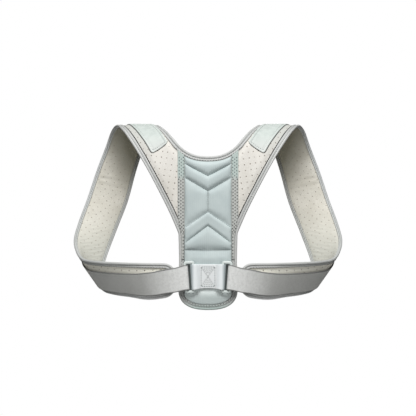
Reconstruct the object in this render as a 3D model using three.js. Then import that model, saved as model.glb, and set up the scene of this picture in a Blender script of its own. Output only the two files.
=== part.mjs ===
// A clavicle brace in the form that it has when worn: a quilted back panel with two padded straps,
// each of which runs over a shoulder, down the chest and back under the arm to a ring on the panel.
// Millimetres, +Z up. The origin lies midway between the two shoulder tops that carry the brace,
// +Y points forward to the chest and +X to the wearer's right. The back panel lies at the back, at -Y.
import * as THREE from "three";
import { mergeVertices } from "three/addons/utils/BufferGeometryUtils.js";

// Driving dimensions
const GAP = 0.3; // clearance between pieces that touch
const PANEL_Y = -78; // middle of the back panel's wall
const PANEL_HALF = 0.8; // half its thickness
const NECK_HALF = 45.6; // half the panel's width at the neckline's corners
const NECK_Z = -49.5; // the neckline's lowest point, on the spine
const NECK_RISE = 18; // from there up to the corners
const TAIL_Z = -250; // where the tail begins to round off
const TAIL_DROP = 31; // from there down to the tail's end
const ROUND_POWER = 2.5; // how square the neckline's and the tail's curves are
const STRAP_HALF = 1.75; // half the thickness of the padded strap
const EDGE_HALF = 0.6; // half the thickness of its edges, pressed flat in the binding
const BINDING_LEG = 6.5; // how far the folded binding reaches in from an edge
const BINDING_THICK = 0.8;
const BINDING_INNER = 1.5; // half the space between the binding's legs
const BINDING_OUTER = BINDING_INNER + BINDING_THICK;
const BOUND = BINDING_LEG + 1.2; // the pressed margin of a strap
const STEP = 0.6; // length of the step from the margin to the full thickness
const TONGUE_RADIUS = 18; // the rounded end of a strap
const TAB_THICK = 1.8;
const TAB_RADIUS = 5;
const TAB_FROM_NECK_EDGE = 8;
const TAB_FROM_ARM_EDGE = 18;
const TAB_LIFT = STRAP_HALF + 2 * GAP; // of its underside
const WEB_WIDTH = 38;
const WEB_THICK = 1.6;
const RING_BAR = 4; // width of the ring's upright bars
const RING_END = 4.6; // height of its upper and lower bars
const RING_THICK = 3.2;
const RING_ROUND = 0.8; // its rounded edges
const RING_HALF_WIDTH = 6.3; // from the ring's middle to the middle of an upright bar
const RING_EYE_HALF_HEIGHT = 20.6;
const RING_X = 28;
const RING_Z = -231.7;
const RING_LIFT = 8.9; // the ring's middle, in front of the panel's middle
const RING_CORNER = 4; // outer radius of its corners
const RING_TILT = THREE.MathUtils.degToRad(3); // its foot leans to the spine
const BAR_TURN = RING_BAR / 2 + GAP; // inner radius of webbing that turns round a bar
const KEEPER_HEIGHT = 38.6;
const KEEPER_ARCH = 2.5; // rise of the keeper's lower edge on the spine
const PAD_HALF = 35.7;
const PAD_EDGE = 1; // thickness of the pad along its seams
const TAPE_LIFT = BINDING_OUTER + 2 * GAP; // of its underside

// The panel's half width down its side, under the neckline's corner.
const PANEL_SIDE = [
  { z: -165, half: 43.8 },
  { z: -206, half: 42.8 },
  { z: TAIL_Z, half: 44 },
];
const TAIL_HALF = PANEL_SIDE.at(-1).half;

// The strap's sections, from its seam on the panel to its tip. A section is a straight line from the edge
// beside the neck and chest to the edge beside the arm, each given sideways from the spine, forward and up.
const STRAP_SECTIONS = [
  { at: "panel seam", neckX: 45.6, neckY: -78, neckZ: -31.5, armX: 43.8, armY: -78, armZ: -165 },
  { at: "low wing", neckX: 47.3, neckY: -77.9, neckZ: -29.3, armX: 57.8, armY: -77.2, armZ: -133 },
  { at: "wing", neckX: 49.3, neckY: -77.2, neckZ: -26.7, armX: 72.3, armY: -75, armZ: -104 },
  { at: "high wing", neckX: 52.3, neckY: -74, neckZ: -22.8, armX: 87, armY: -69.5, armZ: -76 },
  { at: "tab end", neckX: 56.8, neckY: -65, neckZ: -17.6, armX: 102, armY: -59, armZ: -50 },
  { at: "back of shoulder", neckX: 63.3, neckY: -47, neckZ: -10.5, armX: 118.4, armY: -43, armZ: -24.5 },
  { at: "before the crest", neckX: 71.2, neckY: -24, neckZ: -3.8, armX: 131.5, armY: -23, armZ: -6.7 },
  { at: "crest", neckX: 80.3, neckY: 2, neckZ: 1.7, armX: 142.5, armY: 1, armZ: 2.1 },
  { at: "past the crest", neckX: 90, neckY: 27, neckZ: -2.5, armX: 152.3, armY: 26, armZ: -4 },
  { at: "top of chest", neckX: 102, neckY: 51, neckZ: -24, armX: 163.5, armY: 49, armZ: -29 },
  { at: "high chest", neckX: 117, neckY: 68, neckZ: -65.5, armX: 179.5, armY: 63, armZ: -68 },
  { at: "chest", neckX: 131.5, neckY: 74, neckZ: -116.5, armX: 195, armY: 68, armZ: -113 },
  { at: "low chest", neckX: 149, neckY: 71, neckZ: -162, armX: 208.5, armY: 61, armZ: -151 },
  { at: "into the turn", neckX: 165, neckY: 54, neckZ: -207.5, armX: 213.8, armY: 40, armZ: -178 },
  { at: "turn", neckX: 172, neckY: 19, neckZ: -244, armX: 206.5, armY: 12, armZ: -197.5 },
  { at: "under the arm", neckX: 163, neckY: -3, neckZ: -256.5, armX: 195.5, armY: -14, armZ: -207 },
  { at: "side", neckX: 144.8, neckY: -24, neckZ: -261, armX: 170.5, armY: -45, armZ: -210 },
  { at: "back of side", neckX: 120, neckY: -42, neckZ: -263.5, armX: 136.7, armY: -68, armZ: -211 },
  { at: "tongue", neckX: 91, neckY: -61, neckZ: -266.5, armX: 99, armY: -79, armZ: -211.5 },
  { at: "end of tongue", neckX: 61, neckY: -75.5, neckZ: -262.5, armX: 60.7, armY: -83, armZ: -212 },
  { at: "tip", neckX: 48.8, neckY: -80.5, neckZ: -260.5, armX: 48.5, armY: -84, armZ: -212.5 },
];
const STEPS_PER_SECTION = 2;
const TAB_BACK = { neck: 3.4, arm: 3.7 }; // the sections where the two sides of the shoulder tab end on the back
const TAB_FRONT = 8.5; // and, past the crest, where it ends on the chest
const WEB_TO = 13; // the section where the webbing's free end lies

// How far the webbing's upper edge lies from the strap's arm edge, by the distance from the strap's tip.
const WEB_LINE = [
  { fromTip: 0, in: 4.5 },
  { fromTip: 12, in: 6.5 },
  { fromTip: 30, in: 10.5 },
  { fromTip: 60, in: 15.5 },
  { fromTip: 90, in: 16.5 },
];
const WEB_SEWN = 30; // length of webbing sewn to the strap, under the layer that comes back from the ring
const WEB_LIFT = BINDING_OUTER + 2 * GAP + WEB_THICK / 2; // of the layer on the strap
const WEB_STACK = WEB_LIFT + WEB_THICK + GAP; // of the layer on top of it
const WEB_STACKED = 36; // the length from the tip that has both layers
const WEB_SETTLED = 58; // and where the outer one lies on the strap again
const WEB_RING_Z = -232.2; // the webbing's middle, in the ring

// The seam tape's outer edge, which draws in beside the binding of the tail.
const TAPE_OUTER = [
  { z: -142, x: 46.1 },
  { z: -170, x: 40.4 },
  { z: -205, x: 40.4 },
];
const TAPE_INNER = PAD_HALF + 0.6;

// The pad's quilting lines from the neckline down: their height on the spine and at the pad's sides,
// and the crown of the padding above each line.
const QUILT_LINES = [
  { line: "upper V", spineZ: -78.4, sideZ: -59.4, crown: 5 },
  { line: "lower V", spineZ: -101.2, sideZ: -79.9, crown: 5.5 },
  { line: "upper chevron", spineZ: -133.1, sideZ: -157, crown: 5, spineSeam: true },
  { line: "lower chevron", spineZ: -153.6, sideZ: -180.7, crown: 5 },
  { line: "level seam", spineZ: -191.3, sideZ: -190, crown: 5 },
  { line: "tail seam", crown: 2.7 },
];
const QUILT_ROWS = 4; // rows of facets in each band
const QUILT_COLUMNS = 12;
const SPINE_SEAM_HALF = 8; // how far the padding dips on each side of the seam on the spine

// Shared geometry

// A value read off a table of rows by its key column, straight between rows and level past its ends.
function tableValue(rows, key, value, at) {
  const next = rows.findIndex((row) => (row[key] - at) * (rows.at(-1)[key] - rows[0][key]) >= 0);
  if (next === 0) return rows[0][value];
  if (next < 0) return rows.at(-1)[value];
  const [before, after] = [rows[next - 1], rows[next]];
  return THREE.MathUtils.mapLinear(at, before[key], after[key], before[value], after[value]);
}

// How far in from its side the outline of a rounded end lies, at a distance from the tip.
// The outline may be drawn some way inside the real one.
function roundedInset(fromTip, radius, inside = 0) {
  const arc = radius - inside;
  const run = Math.max(0, radius - fromTip);
  return run < arc ? radius - Math.sqrt(arc * arc - run * run) : radius;
}

// A closed geometry of merged vertices, each moved to where place puts it, with its faces pointing out.
function warped(geometry, place) {
  geometry.deleteAttribute("normal");
  geometry.deleteAttribute("uv");
  geometry.clearGroups();
  const merged = mergeVertices(geometry, 1e-4);
  const position = merged.getAttribute("position");
  const point = new THREE.Vector3();
  for (let i = 0; i < position.count; i++) {
    const moved = place(point.fromBufferAttribute(position, i));
    position.setXYZ(i, moved.x, moved.y, moved.z);
  }
  return facingOut(merged);
}

function facingOut(geometry) {
  const position = geometry.getAttribute("position");
  const index = geometry.index.array;
  const [a, b, c] = [new THREE.Vector3(), new THREE.Vector3(), new THREE.Vector3()];
  let volume = 0;
  for (let i = 0; i < index.length; i += 3) {
    a.fromBufferAttribute(position, index[i]);
    b.fromBufferAttribute(position, index[i + 1]);
    c.fromBufferAttribute(position, index[i + 2]);
    volume += a.dot(b.cross(c));
  }
  if (volume < 0) {
    for (let i = 0; i < index.length; i += 3) [index[i], index[i + 1]] = [index[i + 1], index[i]];
  }
  geometry.computeVertexNormals();
  return geometry;
}

// A flat section, swept through a number of stations; place gives the point for a station and a section point.
function swept(section, stations, place) {
  const steps = stations.length - 1;
  const straight = new THREE.ExtrudeGeometry(section, { depth: 1, steps, bevelEnabled: false });
  return warped(straight, (p) => place(stations[Math.round(p.z * steps)], p.x, p.y));
}

// A thin sheet, swept through stations: place takes a station, the share across it and the side, -1 or 1.
function sweptSheet(columns, stations, place) {
  const steps = stations.length - 1;
  const box = new THREE.BoxGeometry(1, 1, 1, columns, 1, steps);
  return warped(box, (p) => place(stations[Math.round((p.z + 0.5) * steps)], p.x + 0.5, Math.sign(p.y)));
}

// The strap's surface

function edgeCurve(edge) {
  const points = STRAP_SECTIONS.map((s) => new THREE.Vector3(s[edge + "X"], s[edge + "Y"], s[edge + "Z"]));
  return new THREE.CatmullRomCurve3(points, false, "centripetal");
}

const LAST_SECTION = STRAP_SECTIONS.length - 1;
const NECK_EDGE = edgeCurve("neck");
const ARM_EDGE = edgeCurve("arm");

// The strap at a section: its two edge points, how they move along the strap, and its width there.
function strapAt(section) {
  const share = section / LAST_SECTION;
  const neck = NECK_EDGE.getPoint(share);
  const arm = ARM_EDGE.getPoint(share);
  const across = arm.clone().sub(neck);
  return {
    section,
    neck,
    arm,
    neckWay: NECK_EDGE.getTangent(share),
    armWay: ARM_EDGE.getTangent(share),
    width: across.length(),
    across: across.normalize(),
  };
}

// The outward normal of the strap's surface, at a share of its width from the neck edge.
function strapNormal(strap, share) {
  const way = strap.neckWay.clone().lerp(strap.armWay, THREE.MathUtils.clamp(share, 0, 1));
  return strap.across.clone().cross(way).normalize();
}

// A point so far across the strap from its neck edge, and so far outward from its middle.
function strapPoint(strap, across, lift) {
  const normal = strapNormal(strap, across / strap.width);
  return strap.neck.clone().addScaledVector(strap.across, across).addScaledVector(normal, lift);
}

// Lengths along the strap's middle, from the seam, at fine steps of its sections.
const LENGTH_STEPS = 20 * LAST_SECTION;
const STRAP_LENGTHS = [{ section: 0, length: 0 }];
for (let i = 1; i <= LENGTH_STEPS; i++) {
  const [from, to] = [i - 1, i].map((k) => strapAt((k / LENGTH_STEPS) * LAST_SECTION));
  const step = from.neck.add(from.arm).distanceTo(to.neck.add(to.arm)) / 2;
  STRAP_LENGTHS.push({ section: to.section, length: STRAP_LENGTHS.at(-1).length + step });
}
const STRAP_LENGTH = STRAP_LENGTHS.at(-1).length;

function lengthAt(section) {
  return tableValue(STRAP_LENGTHS, "section", "length", section);
}

function strapAtLength(length) {
  return { ...strapAt(tableValue(STRAP_LENGTHS, "length", "section", length)), length };
}

// Stations along the strap: two to a section, then closer together round its tip.
const TIP_DISTANCES = [TONGUE_RADIUS + 5, 18, 14, 11, BOUND + 1.2, BOUND, 4.5, 2.2, 0.7, 0];
const STRAP_STATIONS = [];
for (let section = 0; section <= LAST_SECTION; section += 1 / STEPS_PER_SECTION) {
  if (lengthAt(section) < STRAP_LENGTH - TIP_DISTANCES[0] - 5) STRAP_STATIONS.push(lengthAt(section));
}
STRAP_STATIONS.push(...TIP_DISTANCES.map((distance) => STRAP_LENGTH - distance));
const STRAPS = STRAP_STATIONS.map((length) => {
  const strap = strapAtLength(length);
  return { ...strap, fromTip: STRAP_LENGTH - length };
});

// The sine of the angle at which a section meets an edge: on the wing they meet aslant.
function slant(strap, way) {
  return strap.across.clone().cross(way).length();
}

// The strap's section in columns across it. Its margins, pressed flat in the binding, end in a short step.
const STRAP_COLUMNS = [
  { edge: "neck", inside: 0, half: EDGE_HALF },
  { edge: "neck", inside: BOUND, half: EDGE_HALF },
  { edge: "neck", inside: BOUND, past: STEP, half: STRAP_HALF },
  { share: 1 / 3, half: STRAP_HALF },
  { share: 2 / 3, half: STRAP_HALF },
  { edge: "arm", inside: BOUND, past: STEP, half: STRAP_HALF },
  { edge: "arm", inside: BOUND, half: EDGE_HALF },
  { edge: "arm", inside: 0, half: EDGE_HALF },
];

// How far across the strap a column lies, from the neck edge.
function columnAcross(strap, column) {
  if (column.share !== undefined) {
    const [from, to] = [STRAP_COLUMNS[2], STRAP_COLUMNS[5]].map((c) => columnAcross(strap, c));
    return THREE.MathUtils.lerp(from, to, column.share);
  }
  const way = column.edge === "neck" ? strap.neckWay : strap.armWay;
  const inset = roundedInset(strap.fromTip, TONGUE_RADIUS, column.inside);
  const aslant = column.inside ? inset / slant(strap, way) : inset;
  const fromEdge = aslant + (column.past ?? 0);
  return column.edge === "neck" ? fromEdge : strap.width - fromEdge;
}

function strapGeometry() {
  const section = new THREE.Shape();
  STRAP_COLUMNS.forEach((column, i) => section[i ? "lineTo" : "moveTo"](i, -column.half));
  STRAP_COLUMNS.toReversed().forEach((column, i) => section.lineTo(STRAP_COLUMNS.length - 1 - i, column.half));
  return swept(section, STRAPS, (strap, x, half) => {
    const thickness = strap.fromTip > BOUND + STEP ? Math.abs(half) : EDGE_HALF;
    return strapPoint(strap, columnAcross(strap, STRAP_COLUMNS[Math.round(x)]), Math.sign(half) * thickness);
  });
}

// The tab on the shoulder, sewn on over the crest, with rounded corners.
function tabGeometry() {
  const front = lengthAt(TAB_FRONT);
  const long = front - lengthAt((TAB_BACK.neck + TAB_BACK.arm) / 2);
  const corner = [0, 1.5, TAB_RADIUS];
  const inner = Array.from({ length: 9 }, (_, i) => ((i + 1) / 10) * long);
  const stations = [...corner, ...inner, ...corner.toReversed().map((c) => long - c)];
  return sweptSheet(4, stations, (along, share, side) => {
    const back = lengthAt(THREE.MathUtils.lerp(TAB_BACK.neck, TAB_BACK.arm, share));
    const strap = strapAtLength(THREE.MathUtils.lerp(back, front, along / long));
    const cut = roundedInset(Math.min(along, long - along), TAB_RADIUS);
    const [low, high] = [TAB_FROM_NECK_EDGE + cut, strap.width - TAB_FROM_ARM_EDGE - cut];
    return strapPoint(strap, THREE.MathUtils.lerp(low, high, share), TAB_LIFT + (side > 0 ? TAB_THICK : 0));
  });
}

// The webbing: sewn to the tongue, through the ring round its outer bar, and back along the strap.
function webbingStations() {
  const onStrap = (strap, lift) => {
    const upper = strap.width - tableValue(WEB_LINE, "fromTip", "in", strap.fromTip);
    return [strapPoint(strap, upper, lift), strapPoint(strap, upper - WEB_WIDTH, lift)];
  };
  const tongue = STRAPS.filter((strap) => strap.fromTip <= WEB_SEWN);
  const back = STRAPS.filter((strap) => strap.section >= WEB_TO).toReversed();
  const turnRadius = BAR_TURN + WEB_THICK / 2;
  const round = [];
  for (let turn = -90; turn >= -270; turn -= 30) {
    const angle = THREE.MathUtils.degToRad(turn);
    const ends = [WEB_WIDTH / 2, -WEB_WIDTH / 2].map((up) => {
      const z = WEB_RING_Z + up;
      const bar = RING_X + RING_HALF_WIDTH + (z - RING_Z) * Math.tan(RING_TILT);
      const lift = RING_LIFT + turnRadius * Math.sin(angle);
      return new THREE.Vector3(bar + turnRadius * Math.cos(angle), PANEL_Y - lift, z);
    });
    round.push(ends);
  }
  const settle = [
    { fromTip: WEB_STACKED, lift: WEB_STACK },
    { fromTip: WEB_SETTLED, lift: WEB_LIFT },
  ];
  return [
    ...tongue.map((strap) => onStrap(strap, WEB_LIFT)),
    ...round,
    ...back.map((strap) => onStrap(strap, tableValue(settle, "fromTip", "lift", strap.fromTip))),
  ];
}

function webbingGeometry() {
  const edges = webbingStations();
  const middles = edges.map(([upper, lower]) => upper.clone().add(lower).divideScalar(2));
  const stations = edges.map(([upper, lower], i) => {
    const way = middles[Math.min(i + 1, edges.length - 1)].clone().sub(middles[Math.max(i - 1, 0)]);
    const normal = upper.clone().sub(lower).cross(way).normalize();
    return { upper, lower, normal };
  });
  return sweptSheet(2, stations, ({ upper, lower, normal }, share, side) =>
    upper.clone().lerp(lower, share).addScaledVector(normal, (side * WEB_THICK) / 2),
  );
}

// The back panel's outline

function neckZ(x) {
  return NECK_Z + NECK_RISE * Math.abs(x / NECK_HALF) ** ROUND_POWER;
}

// The tail's rounded end, or the same outline drawn some way inside it.
function tailZ(x, inside = 0) {
  const rest = 1 - Math.min(1, Math.abs(x) / (TAIL_HALF - inside)) ** ROUND_POWER;
  return TAIL_Z - (TAIL_DROP - inside) * rest ** (1 / ROUND_POWER);
}

// The right half of the panel's outline below the wing's seam, from the tail's end up, as x and z.
const TAIL_TURN = [0, 9, 18, 26, 33, 38, 41.5, 43.4].map((x) => new THREE.Vector2(x, tailZ(x)));
const PANEL_RIGHT_EDGE = [
  ...TAIL_TURN,
  ...PANEL_SIDE.toReversed().map((row) => new THREE.Vector2(row.half, row.z)),
];
const NECKLINE_X = [42, 37, 31, 24, 16, 8, 0];
const NECKLINE = NECKLINE_X.map((x) => new THREE.Vector2(x, neckZ(x)));

function panelGeometry() {
  const corner = new THREE.Vector2(NECK_HALF - GAP, neckZ(NECK_HALF - GAP));
  const seamFoot = PANEL_RIGHT_EDGE.at(-1).clone().sub(new THREE.Vector2(GAP, 0));
  const right = [...PANEL_RIGHT_EDGE.slice(0, -1), seamFoot, corner, ...NECKLINE];
  const left = right.slice(1, -1).map((p) => new THREE.Vector2(-p.x, p.y));
  const outline = new THREE.Shape([...right, ...left.toReversed()]);
  const wall = new THREE.ExtrudeGeometry(outline, { depth: 2 * PANEL_HALF, bevelEnabled: false });
  return warped(wall, (p) => new THREE.Vector3(p.x, PANEL_HALF - p.z, p.y));
}

// The quilted pad: bands of padding between the quilting lines, each crowned and pressed flat at its seams.
function padGeometry() {
  const neckSlope = (x) => (neckZ(x + 0.1) - neckZ(x - 0.1)) / 0.2;
  const lines = [
    (x) => neckZ(x) - BOUND * Math.hypot(1, neckSlope(x)),
    ...QUILT_LINES.map((row) => (x) =>
      row.spineZ === undefined
        ? tailZ(x, BOUND)
        : THREE.MathUtils.lerp(row.spineZ, row.sideZ, Math.abs(x) / PAD_HALF),
    ),
  ];
  const rows = QUILT_LINES.length * QUILT_ROWS;
  const box = new THREE.BoxGeometry(1, 1, 1, QUILT_COLUMNS, 1, rows);
  const under = PANEL_HALF + GAP;
  return warped(box, (p) => {
    const x = 2 * p.x * PAD_HALF;
    const row = Math.round((p.z + 0.5) * rows);
    const band = Math.min(Math.floor(row / QUILT_ROWS), QUILT_LINES.length - 1);
    const down = row / QUILT_ROWS - band;
    const { crown, spineSeam } = QUILT_LINES[band];
    const z = THREE.MathUtils.lerp(lines[band](x), lines[band + 1](x), down);
    if (p.y < 0) return new THREE.Vector3(x, -under, z);
    const pillow = (4 * down * (1 - down)) ** 0.6 * (1 - Math.abs(x / PAD_HALF) ** 5);
    const dip = spineSeam ? Math.min(1, Math.abs(x) / SPINE_SEAM_HALF) : 1;
    return new THREE.Vector3(x, -(under + PAD_EDGE + crown * pillow * dip), z);
  });
}

// The tape that covers the seam between the panel and a wing, and runs on beside the pad.
function tapeGeometry() {
  const under = (x) => neckZ(x) - BINDING_LEG - 2;
  const outer = [{ z: under(TAPE_OUTER[0].x), x: TAPE_OUTER[0].x }, ...TAPE_OUTER];
  const outline = new THREE.Shape([
    new THREE.Vector2(TAPE_INNER, TAPE_OUTER.at(-1).z),
    new THREE.Vector2(TAPE_INNER, under(TAPE_INNER)),
    ...outer.map((row) => new THREE.Vector2(row.x, row.z)),
  ]);
  const tape = new THREE.ExtrudeGeometry(outline, { depth: BINDING_THICK, bevelEnabled: false });
  return warped(tape, (p) => new THREE.Vector3(p.x, -(TAPE_LIFT + p.z), p.y));
}

// The binding: one folded tape round the whole outline of the panel and both straps

// Its folded section: x is the distance in from the edge, y the height over the edge's middle.
function bindingSection() {
  const [inner, outer] = [BINDING_INNER, BINDING_OUTER];
  const nose = GAP + BINDING_THICK;
  return new THREE.Shape(
    [
      [BINDING_LEG, outer],
      [0.2, outer],
      [-nose, outer / 2],
      [-nose, -outer / 2],
      [0.2, -outer],
      [BINDING_LEG, -outer],
      [BINDING_LEG, -inner],
      [-GAP, -inner],
      [-GAP, inner],
      [BINDING_LEG, inner],
    ].map(([x, y]) => new THREE.Vector2(x, y)),
  );
}

// The right half of the outline, from the tail's end to the neckline's lowest point.
function rightOutline() {
  const backward = new THREE.Vector3(0, -1, 0);
  const onPanel = (p) => ({ point: new THREE.Vector3(p.x, PANEL_Y, p.y), normal: backward });
  const onStrap = (strap, across) => {
    const underLeg = THREE.MathUtils.clamp(across, BINDING_LEG, strap.width - BINDING_LEG);
    return { point: strapPoint(strap, across, 0), normal: strapNormal(strap, underLeg / strap.width) };
  };
  const cut = (strap) => roundedInset(strap.fromTip, TONGUE_RADIUS);
  return [
    ...PANEL_RIGHT_EDGE.slice(0, -1).map(onPanel),
    ...STRAPS.map((strap) => onStrap(strap, strap.width - cut(strap))),
    onStrap(STRAPS.at(-1), STRAPS.at(-1).width / 2),
    ...STRAPS.toReversed().map((strap) => onStrap(strap, cut(strap))),
    ...NECKLINE.map(onPanel),
  ];
}

function bindingGeometry() {
  const mirror = new THREE.Vector3(-1, 1, 1);
  const right = rightOutline();
  const left = right.map(({ point, normal }) => ({
    point: point.clone().multiply(mirror),
    normal: normal.clone().multiply(mirror),
  }));
  const path = [...right, ...left.toReversed().slice(1)];
  path[0].point.x = GAP / 2;
  path.at(-1).point.x = -GAP / 2;
  const stations = path.map(({ point, normal }, i) => {
    const way = path[Math.min(i + 1, path.length - 1)].point.clone();
    way.sub(path[Math.max(i - 1, 0)].point);
    return { point, normal, inward: normal.clone().cross(way).normalize() };
  });
  return swept(bindingSection(), stations, ({ point, normal, inward }, x, y) =>
    point.clone().addScaledVector(inward, x).addScaledVector(normal, y),
  );
}

// The ring and its keeper

function roundedRectangle(path, halfWidth, halfHeight, radius) {
  const quarter = Math.PI / 2;
  const corners = [
    [1, 1],
    [-1, 1],
    [-1, -1],
    [1, -1],
  ];
  corners.forEach(([right, up], i) => {
    path.absarc(right * (halfWidth - radius), up * (halfHeight - radius), radius, i * quarter, (i + 1) * quarter);
  });
  return path;
}

// A flat moulded ring with rounded edges, standing in the plane of X and Z.
function ringGeometry() {
  const [eyeWidth, eyeHeight] = [RING_HALF_WIDTH - RING_BAR / 2, RING_EYE_HALF_HEIGHT];
  const plate = roundedRectangle(new THREE.Shape(), eyeWidth + RING_BAR, eyeHeight + RING_END, RING_CORNER);
  plate.holes.push(roundedRectangle(new THREE.Path(), eyeWidth, eyeHeight, RING_ROUND));
  const solid = new THREE.ExtrudeGeometry(plate, {
    depth: RING_THICK - 2 * RING_ROUND,
    bevelThickness: RING_ROUND,
    bevelSize: RING_ROUND,
    bevelOffset: -RING_ROUND,
    bevelSegments: 1,
    curveSegments: 3,
  });
  return warped(solid, (p) => new THREE.Vector3(p.x, RING_THICK / 2 - RING_ROUND - p.z, p.y));
}

// The keeper: a band sewn down on the spine, with a loop round the inner bar of each ring.
function keeperGeometry() {
  const bar = RING_X - RING_HALF_WIDTH;
  const inner = BAR_TURN;
  const outer = inner + WEB_THICK;
  const [sewn, low] = [10.5, RING_LIFT - outer + 0.35];
  const high = low + 2 * WEB_THICK + 0.2;
  const quarter = Math.PI / 2;
  const band = new THREE.Shape();
  band.moveTo(-sewn, low);
  band.lineTo(sewn, low);
  band.lineTo(bar, RING_LIFT - outer);
  band.absarc(bar, RING_LIFT, outer, -quarter, quarter);
  band.quadraticCurveTo(sewn + 6, RING_LIFT + outer - 0.6, sewn, high);
  band.lineTo(-sewn, high);
  band.quadraticCurveTo(-sewn - 6, RING_LIFT + outer - 0.6, -bar, RING_LIFT + outer);
  band.absarc(-bar, RING_LIFT, outer, quarter, 3 * quarter);
  for (const side of [1, -1]) {
    const eye = new THREE.Path();
    eye.moveTo(side * bar, RING_LIFT - inner);
    eye.absarc(side * bar, RING_LIFT, inner, -quarter, side > 0 ? quarter : -3 * quarter, side < 0);
    eye.quadraticCurveTo(side * (sewn + 7), RING_LIFT + inner - 0.6, side * (sewn + 3), low + WEB_THICK + 0.3);
    band.holes.push(eye);
  }
  const steps = 2;
  const straight = new THREE.ExtrudeGeometry(band, { depth: 1, steps, bevelEnabled: false, curveSegments: 6 });
  return warped(straight, (p) => {
    const up = (p.z - 0.5) * KEEPER_HEIGHT;
    const arch = p.z < 0.25 ? KEEPER_ARCH * Math.max(0, 1 - (p.x / bar) ** 2) : 0;
    const lean = (p.x / bar) * up * Math.tan(RING_TILT);
    return new THREE.Vector3(p.x + lean, -p.y, RING_Z + up + arch);
  });
}

// The pieces, in their materials

function fabric(color, roughness = 0.9) {
  return new THREE.MeshStandardMaterial({ color, roughness, metalness: 0 });
}

const neoprene = fabric("#d6d2c8");
const quilting = fabric("#b9c8c9", 0.7);
const bindingTape = fabric("#9c9e9d");
const seamTape = fabric("#a9b3b1");
const tabCloth = fabric("#dbe5e2", 0.8);
const greyWebbing = fabric("#a9aaa8", 0.8);
const paleWebbing = fabric("#d7e0e4", 0.6);
const acetal = fabric("#d9e0df", 0.35);

function piece(name, geometry, material) {
  const mesh = new THREE.Mesh(geometry, material);
  mesh.name = name;
  return mesh;
}

const brace = new THREE.Group();
const back = new THREE.Group();
back.position.y = PANEL_Y;
back.add(
  piece("back_panel", panelGeometry(), neoprene),
  piece("back_pad", padGeometry(), quilting),
  piece("ring_keeper", keeperGeometry(), paleWebbing),
);
brace.add(back, piece("edge_binding", bindingGeometry(), bindingTape));

for (const [side, sign] of Object.entries({ right: 1, left: -1 })) {
  const half = new THREE.Group();
  half.scale.x = sign;
  const ring = piece(`ring_${side}`, ringGeometry(), acetal);
  ring.position.set(RING_X, PANEL_Y - RING_LIFT, RING_Z);
  ring.rotation.y = RING_TILT;
  const tape = piece(`seam_tape_${side}`, tapeGeometry(), seamTape);
  tape.position.y = PANEL_Y;
  half.add(
    ring,
    tape,
    piece(`shoulder_strap_${side}`, strapGeometry(), neoprene),
    piece(`shoulder_tab_${side}`, tabGeometry(), tabCloth),
    piece(`webbing_${side}`, webbingGeometry(), greyWebbing),
  );
  brace.add(half);
}

export default brace;
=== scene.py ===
"""A clavicle brace as worn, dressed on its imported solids.

Padded straps, a quilted back pad, folded binding, webbing, rings and all the stitching.
Sizes are millimetres, turned to metres when a mesh is finished. +Z is up and -Y is the back.
"""

import logging
import math
from bisect import bisect_right
from dataclasses import dataclass, field
from enum import Enum
from typing import Any, Callable, Iterable, Sequence

import bmesh
import bpy
from mathutils import Matrix, Vector, noise

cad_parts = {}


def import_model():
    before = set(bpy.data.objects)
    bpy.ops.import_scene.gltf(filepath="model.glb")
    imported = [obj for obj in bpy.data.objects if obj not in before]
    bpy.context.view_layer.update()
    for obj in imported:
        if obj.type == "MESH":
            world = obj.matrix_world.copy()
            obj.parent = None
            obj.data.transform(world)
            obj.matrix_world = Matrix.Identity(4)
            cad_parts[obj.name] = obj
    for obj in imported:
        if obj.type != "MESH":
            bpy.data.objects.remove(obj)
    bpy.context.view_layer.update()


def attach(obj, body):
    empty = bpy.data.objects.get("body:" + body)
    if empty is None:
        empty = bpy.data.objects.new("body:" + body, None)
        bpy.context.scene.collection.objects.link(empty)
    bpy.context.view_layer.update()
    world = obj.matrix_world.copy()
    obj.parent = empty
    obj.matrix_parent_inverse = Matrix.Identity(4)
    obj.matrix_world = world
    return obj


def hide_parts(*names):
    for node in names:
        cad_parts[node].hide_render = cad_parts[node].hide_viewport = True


LOG = logging.getLogger("brace")
MM = 0.001
FLAT = "flat"  # the UV map that holds each cloth laid flat, in metres
BODY = "root"
SHADER = "Principled BSDF"  # the shader node that a new material has
GRID_HALF = 0.5  # how far a new grid reaches from its middle
WELD = 0.005  # how close the two ends of a closed loop lie before they are merged
YARN_DETAIL = 4.0  # the finer layers of noise in a yarn's grain
STRAY_SCALE = 0.71  # how fast a stitch's straying changes along its row, for each millimetre
BACKWARD = Vector((0, -1, 0))  # the way that the back panel faces
OUTER, INNER, RIM = range(3)  # the material slots of a slab's two faces and of its edge

Place = Callable[[float, float, int], Vector]
Pair = tuple[float, float]
Chart = Callable[[float, float], Pair]
Path = Sequence[tuple[Vector, Vector]]  # points with the direction that faces out
Tree = bpy.types.NodeTree
Node = bpy.types.Node
Socket = bpy.types.NodeSocket
BMesh = bmesh.types.BMesh
Piece = bpy.types.Object

# Sizes shared by several pieces, as in the solids
PANEL_Y = -78.0
PANEL_HALF = 0.8
NECK_HALF = 45.6
NECK_Z = -49.5
NECK_RISE = 18.0
TAIL_Z = -250.0
TAIL_DROP = 31.0
TAIL_HALF = 44.0
UNDER_ARM_Z = -200.0
ROUND_POWER = 2.5
BINDING_LEG = 6.5
INNER_LEG = 4.1
TONGUE_RADIUS = 18.0
WEB_WIDTH = 38.0
WEB_THICK = 1.6
RING_X = 28.0
RING_Z = -231.7
RING_LIFT = 8.9
RING_HALF_WIDTH = 6.3
RING_TILT = math.radians(3)
BAR_TURN = 2.9
PAD_HALF = 35.7
SELVEDGE = (0.9, 0.4)  # a webbing's rounded edge: its radius and its least share of the thickness

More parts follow.
